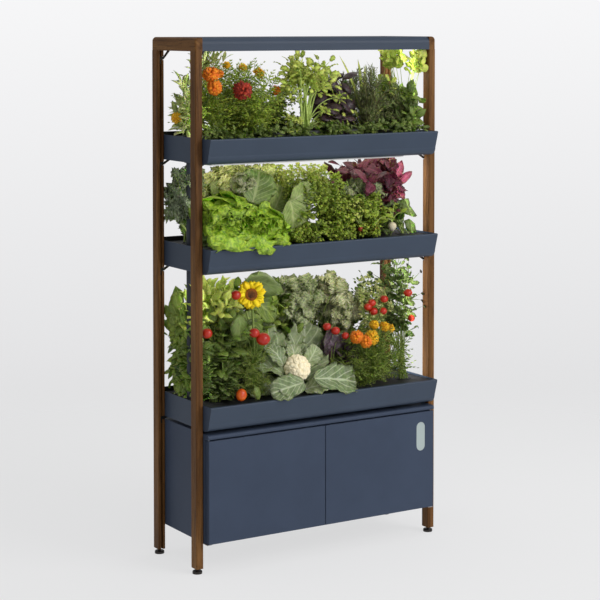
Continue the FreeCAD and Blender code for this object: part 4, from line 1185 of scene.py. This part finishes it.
# %% Upper tray: celery
celery = Plant(21, "upper")
centre = np.array(cup("upper", 2, 0)) + (0.036, -0.012, 0.0)
for tip in celery.tips((-0.095, -0.13, 1.5), (0.055, -0.02, 1.596), 20, 0.4):
    start = centre + np.append(celery.random.normal(0, 0.007, 2), 0.0)
    celery.stem(arch(start, tip, 0.85, 10), 0.0036, 0.4, 4, 0.06, start=0.74, kinds=2, rise=0.1,
                look=FORWARDS)
for tip in ((-0.1, -0.11, 1.51), (0.13, -0.08, 1.44), (-0.06, -0.08, 1.47),
            (0.08, -0.1, 1.48), (0.01, -0.12, 1.44)):
    celery.stem(arch(centre, tip, 0.8, 10), 0.0026, 0.4, 3, 0.045, start=0.8, kinds=2, rise=0.2)
shoots = Plant(22, "upper")
for low, high, size in (((-0.125, -0.12, 1.365), (-0.07, -0.05, 1.43), 0.03),
                        ((0.035, -0.12, 1.365), (0.08, -0.05, 1.43), 0.026)):
    for tip in shoots.tips(low, high, 9, 0.5):
        shoots.stem(arch(centre, tip, 0.8), 0.0012, 0.5, 4, size, start=0.6, spread=0.9, kinds=2)
keep_plant(shoots, "celery_shoot", TRIPLE, BRIGHT, None, PALE_STALK)
keep_plant(celery, "celery", CELERY, BRIGHT, "celery_plant", PALE_STALK, 7)
herb = Plant(24, "upper")
herb.bush(cups("upper", (2, 1), REAR) + cups("upper", (3,), FRONT), (-0.13, -0.02, 1.37),
          (0.1, 0.13, 1.52), 60, 8, 0.034, thick=FINE)
keep_plant(herb, "herb", CUT, GREEN)

# %% [markdown]
# Purple basil has dark cupped leaves that droop. Rosemary has stiff woody stems with needles all
# round, forty on each of nearly two hundred stems, so a needle has very few faces. The long
# blades are ribbons that rise from one cup and bend over.

# %% Upper tray: purple basil, rosemary and long blades
grow("purple_basil", 31, "upper", (3,), BOTH, (
    ((0.045, -0.09, 1.39), (0.145, 0.01, 1.545), 14, 5, 0.08),),
    CUPPED, PURPLE, "leaf_purple", "purple_basil_plant", DARK_STALK, spread=1.1, rise=-0.3,
    start=0.3, look=(0.0, -0.7, 0.8))
grow("rosemary", 41, "upper", (4, 5), BOTH, (
    ((0.175, -0.12, 1.365), (0.345, 0.11, 1.575), 170, 40, 0.03),
    ((0.31, -0.06, 1.365), (0.4, 0.13, 1.5), 24, 40, 0.03)),
    NEEDLE, DUSTY, "leaf_dark", "rosemary_plant", WOODY, thick=0.0013, spread=0.8, rise=0.2,
    start=0.1, arc=0.8, kinds=1)
grass = Plant(45, "upper")
start = np.array(cup("upper", 4, 0)) + (0.0, 0.03, 0.0)
for along, size, kind in (
        ((-0.35, 0.0, 1.0), 0.26, 0), ((-0.15, 0.0, 1.0), 0.27, 0), ((0.1, 0.1, 1.0), 0.26, 0),
        ((0.4, 0.0, 1.0), 0.25, 1), ((0.55, -0.2, 0.8), 0.24, 1), ((-0.5, 0.0, 0.8), 0.25, 1),
        ((0.25, 0.2, 1.0), 0.26, 0), ((0.75, 0.1, 0.9), 0.22, 1)):
    place = start + np.append(grass.random.normal(0, 0.008, 2), 0.005)
    grass.leaf(place, along, (-along[0], -0.6, 0.4), size, kind, wide=1.3)
keep(make_leaves(grass, "long_blades", RIBBON, BRIGHT))

# %% [markdown]
# Nasturtium holds round leaves out on thin stalks, so its stems are bare nearly to their tips.
# Mint fills the corner, and a low row of it along the front hides where stems leave their cups.

# %% Upper tray: nasturtium and mint
grow("nasturtium", 51, "upper", (5,), BOTH, (
    ((0.305, -0.06, 1.585), (0.385, 0.01, 1.636), 8, 3, 0.046, {"look": FORWARDS}),
    ((0.375, -0.115, 1.55), (0.425, -0.075, 1.63), 8, 3, 0.044, {"look": FORWARDS}),
    ((0.29, -0.11, 1.4), (0.4, 0.05, 1.57), 16, 3, 0.036, {"start": 0.6})),
    ROUND, BRIGHT, "leaf_light", "nasturtium_plant", PALE_STALK, rise=0.1, floor=0.25, start=0.85)
mint = Plant(55, "upper")
mint.bush(cups("upper", (5,), BOTH), (0.32, -0.13, 1.365), (0.415, 0.06, 1.51), 44, 5, 0.056,
          look=FORWARDS)
mint.bush(cups("upper", range(CUP_COLUMNS), FRONT), (-0.42, -0.145, 1.364),
          (0.425, -0.105, 1.395), 100, 5, 0.03, thick=0.001, square=8.0, shell=0.2)
keep_plant(mint, "mint", POINTED, MID)

# %% [markdown]
# The middle tray holds curly kale, a pair of lettuces that hang over the lip, collard leaves,
# parsley, amaranth, and radishes with a small turnip.

# %% Middle tray: lettuce
def lettuce_head(plant, centre, count, size):
    """Leaves that rise from the heart by the golden angle and curl over, the outer ones lower."""
    turn = plant.random.uniform(0, 6)
    for step in range(count):
        age = (step + 0.5) / count
        turn += GOLDEN
        out = np.array((math.cos(turn), math.sin(turn), 0.0))
        tilt = 0.95 * age ** 1.3 + plant.random.normal(0, 0.06)
        along = math.sin(tilt) * out + math.cos(tilt) * np.array((0, 0, 1.0))
        facing = np.array((0, 0, 0.3)) + out + plant.random.normal(0, 0.12, 3)
        place = np.array(centre) + out * (0.008 + 0.012 * age)
        length = size * (0.7 + 0.3 * min(age * 3.5, 1.0)) * plant.random.uniform(0.93, 1.05)
        plant.leaf(place, along, facing, length, plant.random.integers(5))


lettuce = Plant(61, "middle")
lettuce_head(lettuce, np.array(cup("middle", 0, 0)) + (0.008, -0.03, 0.02), 20, 0.2)
lettuce_head(lettuce, np.array(cup("middle", 1, 0)) + (-0.004, -0.03, 0.006), 18, 0.16)
for x, z, aside, size, wide in (
        (-0.398, 1.15, -0.25, 0.135, 1.0), (-0.36, 1.175, -0.05, 0.185, 1.0),
        (-0.318, 1.15, 0.2, 0.12, 0.9), (-0.29, 1.13, -0.15, 0.14, 0.9),
        (-0.248, 1.15, 0.05, 0.17, 0.9), (-0.205, 1.16, 0.15, 0.135, 1.0),
        (-0.19, 1.125, 0.35, 0.13, 0.8)):
    lettuce.leaf((x, -0.112, z), (aside, -0.4, -1.0), (aside * 0.8, -1.0, 0.2), size,
                 5 + lettuce.random.integers(5), wide=wide)
keep(make_leaves(lettuce, "lettuce_leaves", LETTUCE + DRAPE, LIGHT, True),
     "lettuce_plant")

# %% [markdown]
# Kale's curl is all in the edge of its leaf. It could be sculpted, but one finely cut grid with
# strong ruffles gives it, on stems with leaves only at their ends, turned to the front. Shaded
# leaves fill the bush below. Collard leaves are few and large, so each is listed one by one.

# %% Middle tray: curly kale and collard
grow("kale_blue", 71, "middle", (0,), REAR, (
    ((-0.44, -0.03, 1.04), (-0.35, 0.15, 1.255), 30, 1, 0.1),),
    FRILL, BLUE, "leaf_blue", "kale_plants", PALE_STALK, 6, **KALE)
grow("kale_ball", 73, "middle", (1,), REAR, (
    ((-0.28, -0.085, 1.18), (-0.225, -0.04, 1.228), 18, 1, 0.045),),
    FRILL, FROSTED, "leaf_blue", None, PALE_STALK, 6, **KALE)
grow("kale_pale", 72, "middle", (1, 2), REAR, (
    ((-0.34, -0.02, 1.11), (-0.08, 0.15, 1.25), 66, 1, 0.08),),
    FRILL, PALE, "leaf_light", None, PALE_STALK, 6, **KALE)
# These leaves wear the darker finish as painted shade under the kale.
grow("kale_shaded", 74, "middle", (0, 1, 2), REAR, (
    ((-0.425, -0.03, 1.024), (-0.06, 0.155, 1.18), 70, 7, 0.05),), OVAL, DARK, "leaf_dark")
collard = Plant(75, "middle")
collard.singles(cup("middle", 2, 0), (
    ((-0.24, -0.095, 1.148), (0.36, 0.0, 1.0), (-0.25, -1.0, 0.25), 0.125, 1.4),
    ((-0.112, -0.115, 1.16), (0.25, -0.1, -1.0), (0.1, -1.0, -0.1), 0.13, 1.2),
    ((-0.14, -0.05, 1.11), (0.55, 0.0, 0.8), (0.1, -1.0, 0.4), 0.115, 1.0),
    ((-0.25, -0.02, 1.13), (-0.55, 0.2, 0.8), (-0.1, -0.9, 0.5), 0.12, 1.0),
    ((-0.1, -0.1, 1.15), (0.8, -0.1, 0.4), (0.1, -1.0, 0.3), 0.11, 1.0),
    ((-0.06, -0.01, 1.12), (0.3, 0.3, 0.9), (0.1, -1.0, 0.4), 0.11, 1.0)))
keep_plant(collard, "collard", BROAD, COLLARD, None, PALE_STALK, 6)

# %% [markdown]
# Parsley is a dense lawn of small cut leaves in threes, in crowns that are nearly boxes and reach
# up to the front lip. Paler dill stands over it, and amaranth beside it with drooping red leaves.

# %% Middle tray: parsley, dill and amaranth
grow("parsley", 81, "middle", (2, 3, 4), FRONT, (
    ((-0.085, -0.155, 1.022), (0.15, 0.03, 1.225), 140, 8, 0.038, {"square": 5.0}),
    ((0.08, -0.155, 1.022), (0.255, 0.03, 1.155), 95, 8, 0.038, {"square": 5.0}),
    ((-0.12, -0.16, 1.026), (0.215, -0.125, 1.065), 70, 6, 0.034, {"square": 6.0})),
    CUT, HERB, "leaf_green", "parsley_plant", **LAWN)
dill = Plant(83, "middle")
front = cups("middle", (2, 3, 4), FRONT)
dill.bush(front + cups("middle", (2,), REAR), (-0.1, -0.07, 1.17), (0.125, 0.08, 1.266), 70,
          8, 0.032, FINE, start=0.5)
dill.bush(front, (-0.15, 0.03, 1.225), (-0.02, 0.13, 1.266), 16, 6, 0.036, start=0.5,
          spread=0.9, floor=0.25)
dill.bush(front, (0.08, -0.15, 1.05), (0.24, -0.04, 1.16), 36, 6, 0.034, FINE, start=0.5)
keep_plant(dill, "dill", CUT, BRIGHT, None, PALE_STALK)
grow("olive", 84, "middle", (4,), FRONT, (
    ((0.165, -0.06, 1.13), (0.28, 0.03, 1.19), 10, 1, 0.07, {"rise": 0.25, "thick": 0.002}),),
    FRILL, CURLY, "leaf_blue", None, PALE_STALK, **CURLS)
grow("amaranth", 91, "middle", (4, 5), REAR, (
    ((0.15, -0.06, 1.14), (0.415, 0.15, 1.262), 44, 5, 0.086,
     {"spread": 1.1, "rise": -0.25, "start": 0.6, "look": (0.0, -0.6, 0.8), "floor": 0.25}),
    ((0.225, -0.085, 1.06), (0.345, 0.04, 1.19), 34, 6, 0.052, {"rise": -0.7, "start": 0.4})),
    SPEAR, MAROON, "leaf_purple", "amaranth_plant", DARK_STALK)

# %% [markdown]
# Two radishes and a small turnip show over the front lip. A tail runs from each one down to the
# cover, and a tuft of leaves stands on it. One round shape with a pointed lower end makes both
# kinds, by other sizes and skins.

# %% Middle tray: radishes, turnip and chard
ROOT = [globe(10, 14, 0.95, tail=0.3)]
tops = Plant(96, "middle")
for name, skin, roots in (
        ("radish_roots", RADISH, ((0.15, -0.13, 1.05, 0.008), (0.205, -0.135, 1.046, 0.01))),
        ("turnip_root", TURNIP, ((0.283, -0.12, 1.05, 0.0145),))):
    root = Plant(97)
    for x, y, z, radius in roots:
        fruit(root, (x, y, z), radius)
        root.stalk([(x, y, z - radius), (x, y + 0.01, RIMS["middle"] - COVER_DROP)], 0.0012, 0.5)
        crown = np.array((x, y, z + radius * 0.85))
        for tip in tops.tips(crown + (-0.05, -0.02, 0.01), crown + (0.05, 0.05, 0.06), 9, 0.5):
            tops.stem(arch(crown, tip, 0.9, 6), 0.0014, 0.7, 2, 0.04, start=0.8, spread=0.4)
    keep(make_leaves(root, name, ROOT, skin))
    keep(make_stalks(root, name + "_tails", PALE_STALK))
keep_plant(tops, "radish", OVAL, HERB, "radish_plants", PALE_STALK)
chard = Plant(98, "middle")
chard.bush(cups("middle", (5, 4), FRONT), (0.25, -0.1, 1.03), (0.34, 0.0, 1.115), 16, 4,
           0.052, spread=0.8, start=0.5)
chard.singles(cup("middle", 5, 0), (
    ((0.35, -0.07, 1.105), (0.8, -0.1, -0.1), (0.2, -0.7, 0.7), 0.11, 1.0),
    ((0.345, -0.06, 1.08), (0.5, -0.1, 0.7), (-0.5, -0.8, 0.3), 0.08, 1.0),
    ((0.36, -0.08, 1.06), (0.6, -0.2, -0.4), (0.2, -0.9, 0.3), 0.08, 1.0)), 1)
keep(make_leaves(chard, "chard_leaves", OVAL, DARK))
keep(make_stalks(chard, "chard_stalks", PALE_STALK))

# %% [markdown]
# The lower tray is the tallest bay: basil, a pepper plant, a sunflower, a cauliflower with its
# large grey-green leaves, greens and curly kale, marigolds and a tomato plant.

# %% Lower tray: basil and greens on the left
basil = Plant(101, "lower")
left = cups("lower", (0,), REAR)
basil.bush(left, (-0.43, 0.02, 0.64), (-0.37, 0.15, 0.83), 20, 5, 0.08, spread=1.1,
           rise=-0.3, start=0.4, look=(-0.4, -0.6, 0.7))
basil.bush(left, (-0.44, -0.02, 0.534), (-0.38, 0.13, 0.64), 10, 5, 0.07, spread=1.1,
           rise=-0.1, start=0.4)
basil.singles(left[0], [(base, along, (-0.6, -1.0, 0.2), size, 1.0) for base, along, size in (
    ((-0.405, 0.1, 0.81), (-0.14, -0.1, -1.0), 0.125),
    ((-0.385, 0.08, 0.8), (0.05, -0.1, -1.0), 0.11),
    ((-0.4, 0.11, 0.86), (-0.1, -0.1, -1.0), 0.075),
    ((-0.4, 0.09, 0.64), (-0.1, -0.1, -1.0), 0.085))], 1)
keep_plant(basil, "basil", POINTED, GREEN, "basil_plant")
grow("greens", 141, "lower", (0, 1), REAR, (
    ((-0.395, -0.12, 0.785), (-0.28, 0.11, 0.895), 76, 5, 0.058),),
    POINTED, BRIGHT, "leaf_light", start=0.6, look=(0.0, -0.6, 0.8))

# %% [markdown]
# The pepper plant stands at the front left and has pointed leaves. Darker leaves fill the shade
# below it. Where one large leaf stands out in the photograph, it is listed on its own.

# %% Lower tray: pepper plant and what grows under it
pepper = Plant(111, "lower")
around_pepper = cups("lower", (0, 1), BOTH)
front = cup("lower", 1, 0)
pepper.bush(around_pepper, (-0.4, -0.11, 0.67), (-0.245, 0.08, 0.805), 40, 5, 0.08,
            start=0.4, look=(0.0, -0.7, 0.8), rise=0.0)
pepper.singles(front, (
    ((-0.265, -0.15, 0.58), (0.4, -0.4, -0.7), (0.1, -0.8, 0.5), 0.055, 1.0),), 1)
keep(make_leaves(pepper, "pepper_leaves", POINTED, MID), "pepper_plant")
# The low leaves are the pepper's leaves with the darker finish, as painted shade below the plant.
low_leaves = Plant(112, "lower")
low_leaves.bush(around_pepper, (-0.41, -0.12, 0.534), (-0.27, 0.1, 0.74), 80, 7, 0.058)
low_leaves.singles(front, (
    ((-0.318, -0.145, 0.812), (0.15, -0.2, -1.0), (0.2, -1.0, 0.1), 0.1, 1.2),), 1)
low_leaves.singles(cup("lower", 1, 1), (
    ((-0.238, -0.04, 0.896), (0.95, -0.35, -0.02), (-0.1, -0.9, 0.6), 0.175, 0.85),), 1)
keep(make_leaves(low_leaves, "pepper_low_leaves", POINTED, DARK))
keep(make_stalks(pepper, "pepper_stalks", STALK))
grow("cut", 113, "lower", (0, 1), BOTH, (
    ((-0.31, -0.15, 0.534), (-0.19, -0.04, 0.7), 60, 7, 0.038),),
    MARIGOLD, GREEN, "leaf_green", thick=FINE, kinds=2)

# %% [markdown]
# The sunflower has two rings of rays round a domed disc of florets. The second ring is turned by
# half a step and leans further forward. The florets sit by the golden angle, dark in the middle
# and lighter outside.

# %% Lower tray: sunflower
RAY_COUNT = 24
FLORET_COUNT = 260
DISC_RADIUS = 0.0185
DARK_CENTRE = 0.012
bloom = Plant(121)
face = unit((-0.45, -1.0, 0.1))
centre = np.array((-0.257, -0.118, 0.865))
for step in range(2 * RAY_COUNT):
    shift, lean = (0.0, 0.15) if step < RAY_COUNT else (0.13, 0.45)
    out = around(face, step * 2 * math.pi / RAY_COUNT + shift)
    bloom.leaf(centre + out * 0.013, out + lean * face + bloom.random.normal(0, 0.08, 3), face,
               bloom.random.uniform(0.03, 0.038), bloom.random.integers(2), wide=1.7)
keep(make_leaves(bloom, "sunflower_petals", RAYS, SUN))
disc = Plant(122)
for step in range(FLORET_COUNT):
    radius = DISC_RADIUS * math.sqrt((step + 0.5) / FLORET_COUNT)
    place = centre + around(face, step * GOLDEN) * radius + face * (0.007 - 8.0 * radius ** 2)
    disc.leaf(place, around(face, step), face, 0.0019, tint=float(radius > DARK_CENTRE))
keep(make_leaves(disc, "sunflower_disc", [globe(4, 5, 1.6)], SEEDS))
stem = Plant(123, "lower")
stem.stalk(arch(front, centre - face * 0.012, 0.9, 12), 0.0045, 0.8)
stem.singles(front, (
    ((-0.235, 0.01, 0.85), (-0.5, -0.2, 0.1), (0.0, -0.7, 0.8), 0.1, 1.0),
    ((-0.2, 0.0, 0.84), (0.6, -0.3, -0.4), (0.1, -0.9, 0.5), 0.13, 1.0),
    ((-0.23, -0.04, 0.8), (0.3, -0.2, -0.9), (0.0, -1.0, 0.3), 0.12, 1.0),
    ((-0.15, 0.01, 0.828), (0.9, 0.0, -0.3), (0.1, -0.8, 0.6), 0.11, 1.0)))
keep(make_leaves(stem, "sunflower_leaves", BROAD, GREEN), "sunflower_plant")
keep(make_stalks(stem, "sunflower_stalk", STALK, 8))

# %% [markdown]
# A cauliflower's curd is a dome of round florets that are made of smaller ones. Hundreds of
# balls would hide most of their faces inside each other. Here one closed ball is raised near
# evenly spread centres instead, by wide bumps and by fine ones. The large wavy leaves wrap it
# from below, each listed one by one, because they are large enough to be told apart.

# %% Lower tray: cauliflower
def curd(rings, sides, seed, *layers):
    """A closed dome covered with round bumps, large ones with small ones on them."""
    random = np.random.default_rng(seed)
    ball = globe(rings, sides, 0.82)
    points = ball.points / np.linalg.norm(ball.points, axis=1, keepdims=True)
    height = np.zeros(len(points))
    for count, size, depth in layers:
        index = np.arange(count) + 0.5
        polar = np.arccos(1 - 2 * index / count)
        turn = index * GOLDEN + random.normal(0, 0.1, count)
        spots = np.stack([np.sin(polar) * np.cos(turn), np.sin(polar) * np.sin(turn),
                          np.cos(polar)], axis=1)
        angle = np.arccos(np.clip(points @ spots.T, -1, 1)).min(axis=1)
        height += depth * np.sqrt(np.maximum(1 - (angle / size) ** 2, 0.0))
    return Shape(ball.points * (0.76 + height)[:, None], ball.faces, ball.uvs)


head = Plant(131)
fruit(head, (-0.082, -0.11, 0.612), 0.046, lean=(-0.25, -0.8, 0.6))
florets = curd(80, 120, 5, (80, 0.27, 0.18), (640, 0.1, 0.06))
keep(make_leaves(head, "cauliflower_curd", [florets], CURD))
wrap = Plant(132, "lower")
root = np.array((-0.082, -0.1, RIMS["lower"]))
# The long leaf to the right is given the darkest tint: painted shade that tones down the key lamp's
# light on it.
for start, along, facing, size, wide, kind, tint in (
        ((-0.006, -0.066, 0.044), (-1.0, -0.1, -0.1), (-0.25, -1.0, 0.55), 0.125, 0.85, 2, None),
        ((0.036, -0.05, 0.05), (1.0, -0.1, -0.08), (0.35, -0.9, 0.45), 0.195, 0.66, 2, 0.0),
        ((0.04, 0.01, 0.03), (0.5, 0.05, 0.9), (-0.3, -0.9, 0.4), 0.15, 0.9, 3, None),
        ((-0.04, 0.0, 0.06), (-0.9, 0.0, 0.75), (0.3, -0.9, 0.5), 0.17, 0.55, 1, None),
        ((-0.01, 0.03, 0.06), (-0.55, 0.1, 0.95), (0.1, -1.0, 0.2), 0.2, 0.85, 0, None),
        ((0.01, 0.035, 0.06), (-0.05, 0.1, 1.0), (-0.1, -1.0, 0.2), 0.17, 0.95, 3, None),
        ((0.03, 0.035, 0.04), (0.35, 0.15, 0.95), (-0.2, -1.0, 0.2), 0.21, 0.75, 2, None),
        ((-0.05, 0.02, 0.02), (-0.95, 0.0, 0.25), (0.1, -0.8, 0.6), 0.16, 0.8, 2, None),
        ((0.06, 0.01, 0.02), (0.95, 0.0, 0.35), (0.0, -0.8, 0.6), 0.17, 0.8, 0, None),
        ((0.02, -0.02, 0.01), (0.6, -0.5, 0.3), (0.1, -0.7, 0.7), 0.09, 1.0, 2, None),
        ((-0.03, -0.03, 0.01), (-0.6, -0.5, 0.3), (0.0, -0.7, 0.7), 0.08, 1.0, 2, None),
        ((0.0, 0.01, 0.09), (0.05, -0.2, 1.0), (0.0, -1.0, 0.0), 0.07, 1.1, 3, None),
        ((0.04, 0.0, 0.08), (0.5, -0.2, 0.8), (-0.3, -1.0, 0.0), 0.08, 1.0, 2, None),
        ((-0.045, 0.0, 0.09), (-0.4, -0.2, 0.9), (0.3, -1.0, 0.0), 0.09, 0.9, 1, None)):
    wrap.leaf(root + start, along, facing, size, kind, tint, wide)
keep(make_leaves(wrap, "cauliflower_leaves", WAVY, BLOOM, True), "cauliflower_plant")

# %% [markdown]
# Behind the cauliflower stand mixed greens and two curly kales, a grey-green and a frosted one.
# Violet basil and shaded leaves fill the space in front of them and below.

# %% Lower tray: greens, curly kale and violet basil
grow("back", 144, "lower", (1, 2, 3), REAR, (
    ((-0.225, -0.03, 0.58), (0.01, 0.15, 0.83), 80, 8, 0.056),
    ((-0.235, 0.07, 0.54), (0.01, 0.168, 0.85), 90, 8, 0.056, {"square": 6.0, "shell": 0.2}),
    ((-0.08, 0.09, 0.69), (0.06, 0.168, 0.85), 44, 8, 0.056,
     {"square": 6.0, "shell": 0.3, "start": 0.45})),
    OVAL, GREEN, "leaf_green", "leafy_plants", spread=0.95, start=0.25)
grow("curly_kale", 142, "lower", (2, 3, 4), REAR, (
    ((-0.05, -0.01, 0.725), (0.095, 0.15, 0.85), 40, 1, 0.07),),
    FRILL, CURLY, "leaf_blue", None, PALE_STALK, 6, **CURLS)
grow("wisp", 147, "lower", (4,), (1, 0), (
    ((0.195, -0.08, 0.76), (0.33, -0.03, 0.88), 22, 5, 0.038),),
    CUT, PALE, "leaf_light", None, PALE_STALK, thick=0.0013, start=0.4)
grow("frosted_kale", 146, "lower", (2, 3, 4), REAR, (
    ((0.105, -0.03, 0.68), (0.26, 0.14, 0.845), 46, 1, 0.07),),
    FRILL, FROSTED, "leaf_light", None, PALE_STALK, 6, **CURLS)
violet = Plant(143, "lower")
violet.bush(cups("lower", (3,), FRONT), (0.09, -0.09, 0.54), (0.2, 0.02, 0.68), 26, 6,
            0.056, start=0.3)
violet.singles(cup("lower", 3, 0), (
    ((0.052, -0.088, 0.728), (0.3, -0.1, -1.0), (0.0, -1.0, 0.15), 0.12, 1.0),
    ((0.09, -0.06, 0.7), (0.8, -0.2, -0.7), (0.0, -1.0, 0.15), 0.08, 0.8),
    ((0.06, -0.06, 0.7), (-0.2, -0.3, -0.9), (0.0, -1.0, 0.15), 0.08, 0.8)), 4)
keep_plant(violet, "violet_basil", POINTED + BLISTERED, VIOLET, None, DARK_STALK)
# These filler leaves wear the darker finish as painted shade between and under the plants.
grow("shaded", 145, "lower", (2, 3, 4), BOTH, (
    ((-0.05, -0.06, 0.534), (0.3, 0.14, 0.72), 110, 8, 0.05),), OVAL, DARK, "leaf_dark")

# %% [markdown]
# Calendula repeats what the marigolds above are made of: feathered leaves and domes of petals.
# Its heads are listed one by one, because bright flowers are what the eye finds first.

# %% Lower tray: calendula
calendula = Plant(151, "lower")
calendula.bush(cups("lower", (3, 4, 5), FRONT), (0.11, -0.155, 0.534), (0.335, -0.02, 0.69),
               120, 6, 0.058, thick=0.0012, kinds=2)
flower_heads("calendula", 152, (
    (0, (0.132, -0.135, 0.696), 0.025, (-0.7, -0.8, 0.2)),
    (0, (0.162, -0.145, 0.68), 0.024, (-0.4, -1.0, 0.1)),
    (2, (0.188, -0.14, 0.69), 0.028, (-0.1, -1.0, 0.3)),
    (2, (0.222, -0.105, 0.724), 0.019, (-0.1, -0.7, 0.7)),
    (2, (0.258, -0.11, 0.716), 0.02, (0.1, -0.7, 0.7)),
    (2, (0.284, -0.11, 0.708), 0.017, (0.4, -0.8, 0.5)),
), calendula, cup("lower", 4, 0))
keep_plant(calendula, "calendula", MARIGOLD, GREEN, "calendula_plant")

# %% [markdown]
# The tomato plant has compound leaves. Its fruit are round with five faint ribs and wear a green
# star where the stalk begins. Red fruit that show between other plants are made here too, with
# stalks from the nearest front cup, so that nothing floats.

# %% Lower tray: tomato plant, and every red fruit
tomato = Plant(161, "lower")
for low, high, stems, size, start, rise in (
        ((0.345, -0.06, 0.74), (0.415, 0.06, 0.915), 18, 0.086, 0.45, -0.1),
        ((0.23, -0.06, 0.73), (0.36, 0.12, 0.86), 24, 0.052, 0.55, -0.2)):
    tomato.bush(cups("lower", (5,), BOTH), low, high, stems, 4, size, thick=0.0018, start=start,
                kinds=2, rise=rise)
ripe = Plant(162)
stars = Plant(163)
for x, y, z, radius in (
        (0.282, -0.075, 0.801, 0.014), (0.233, -0.075, 0.792, 0.014),
        (0.217, -0.075, 0.78, 0.014), (0.237, -0.078, 0.764, 0.015),
        (0.278, -0.075, 0.761, 0.014), (0.38, -0.075, 0.814, 0.015),
        (0.39, -0.08, 0.728, 0.013), (0.036, -0.105, 0.735, 0.014),
        (0.067, -0.108, 0.719, 0.015), (0.106, -0.108, 0.699, 0.013),
        (-0.308, -0.11, 0.866, 0.017), (-0.265, -0.15, 0.748, 0.017),
        (-0.233, -0.15, 0.726, 0.023), (-0.407, -0.1, 0.752, 0.018)):
    for plant in (ripe, stars):
        fruit(plant, (x, y, z), radius, lean=(0.1, 0.1, 1.0))
    near = min(cups("lower", range(CUP_COLUMNS), FRONT), key=lambda spot: abs(spot[0] - x))
    tomato.stalk(arch(near, (x, y, z + radius), 1.1), 0.0012, 0.8)
tomato_skin = globe(12, 20, 0.88, ribs=5, depth=0.04)
keep(make_leaves(ripe, "tomatoes", [tomato_skin], FRUIT))
keep(make_leaves(stars, "tomato_calyxes", [CALYX], STALK))
hot = Plant(164)
fruit(hot, (-0.311, -0.148, 0.556), 0.018, lean=(0.3, 0.2, 0.9))
pepper_skin = globe(12, 16, 1.1, ribs=3, depth=0.08)
keep(make_leaves(hot, "ripening_peppers", [pepper_skin], PEPPER))
keep_plant(tomato, "tomato", COMPOUND, DARK, "tomato_plant")
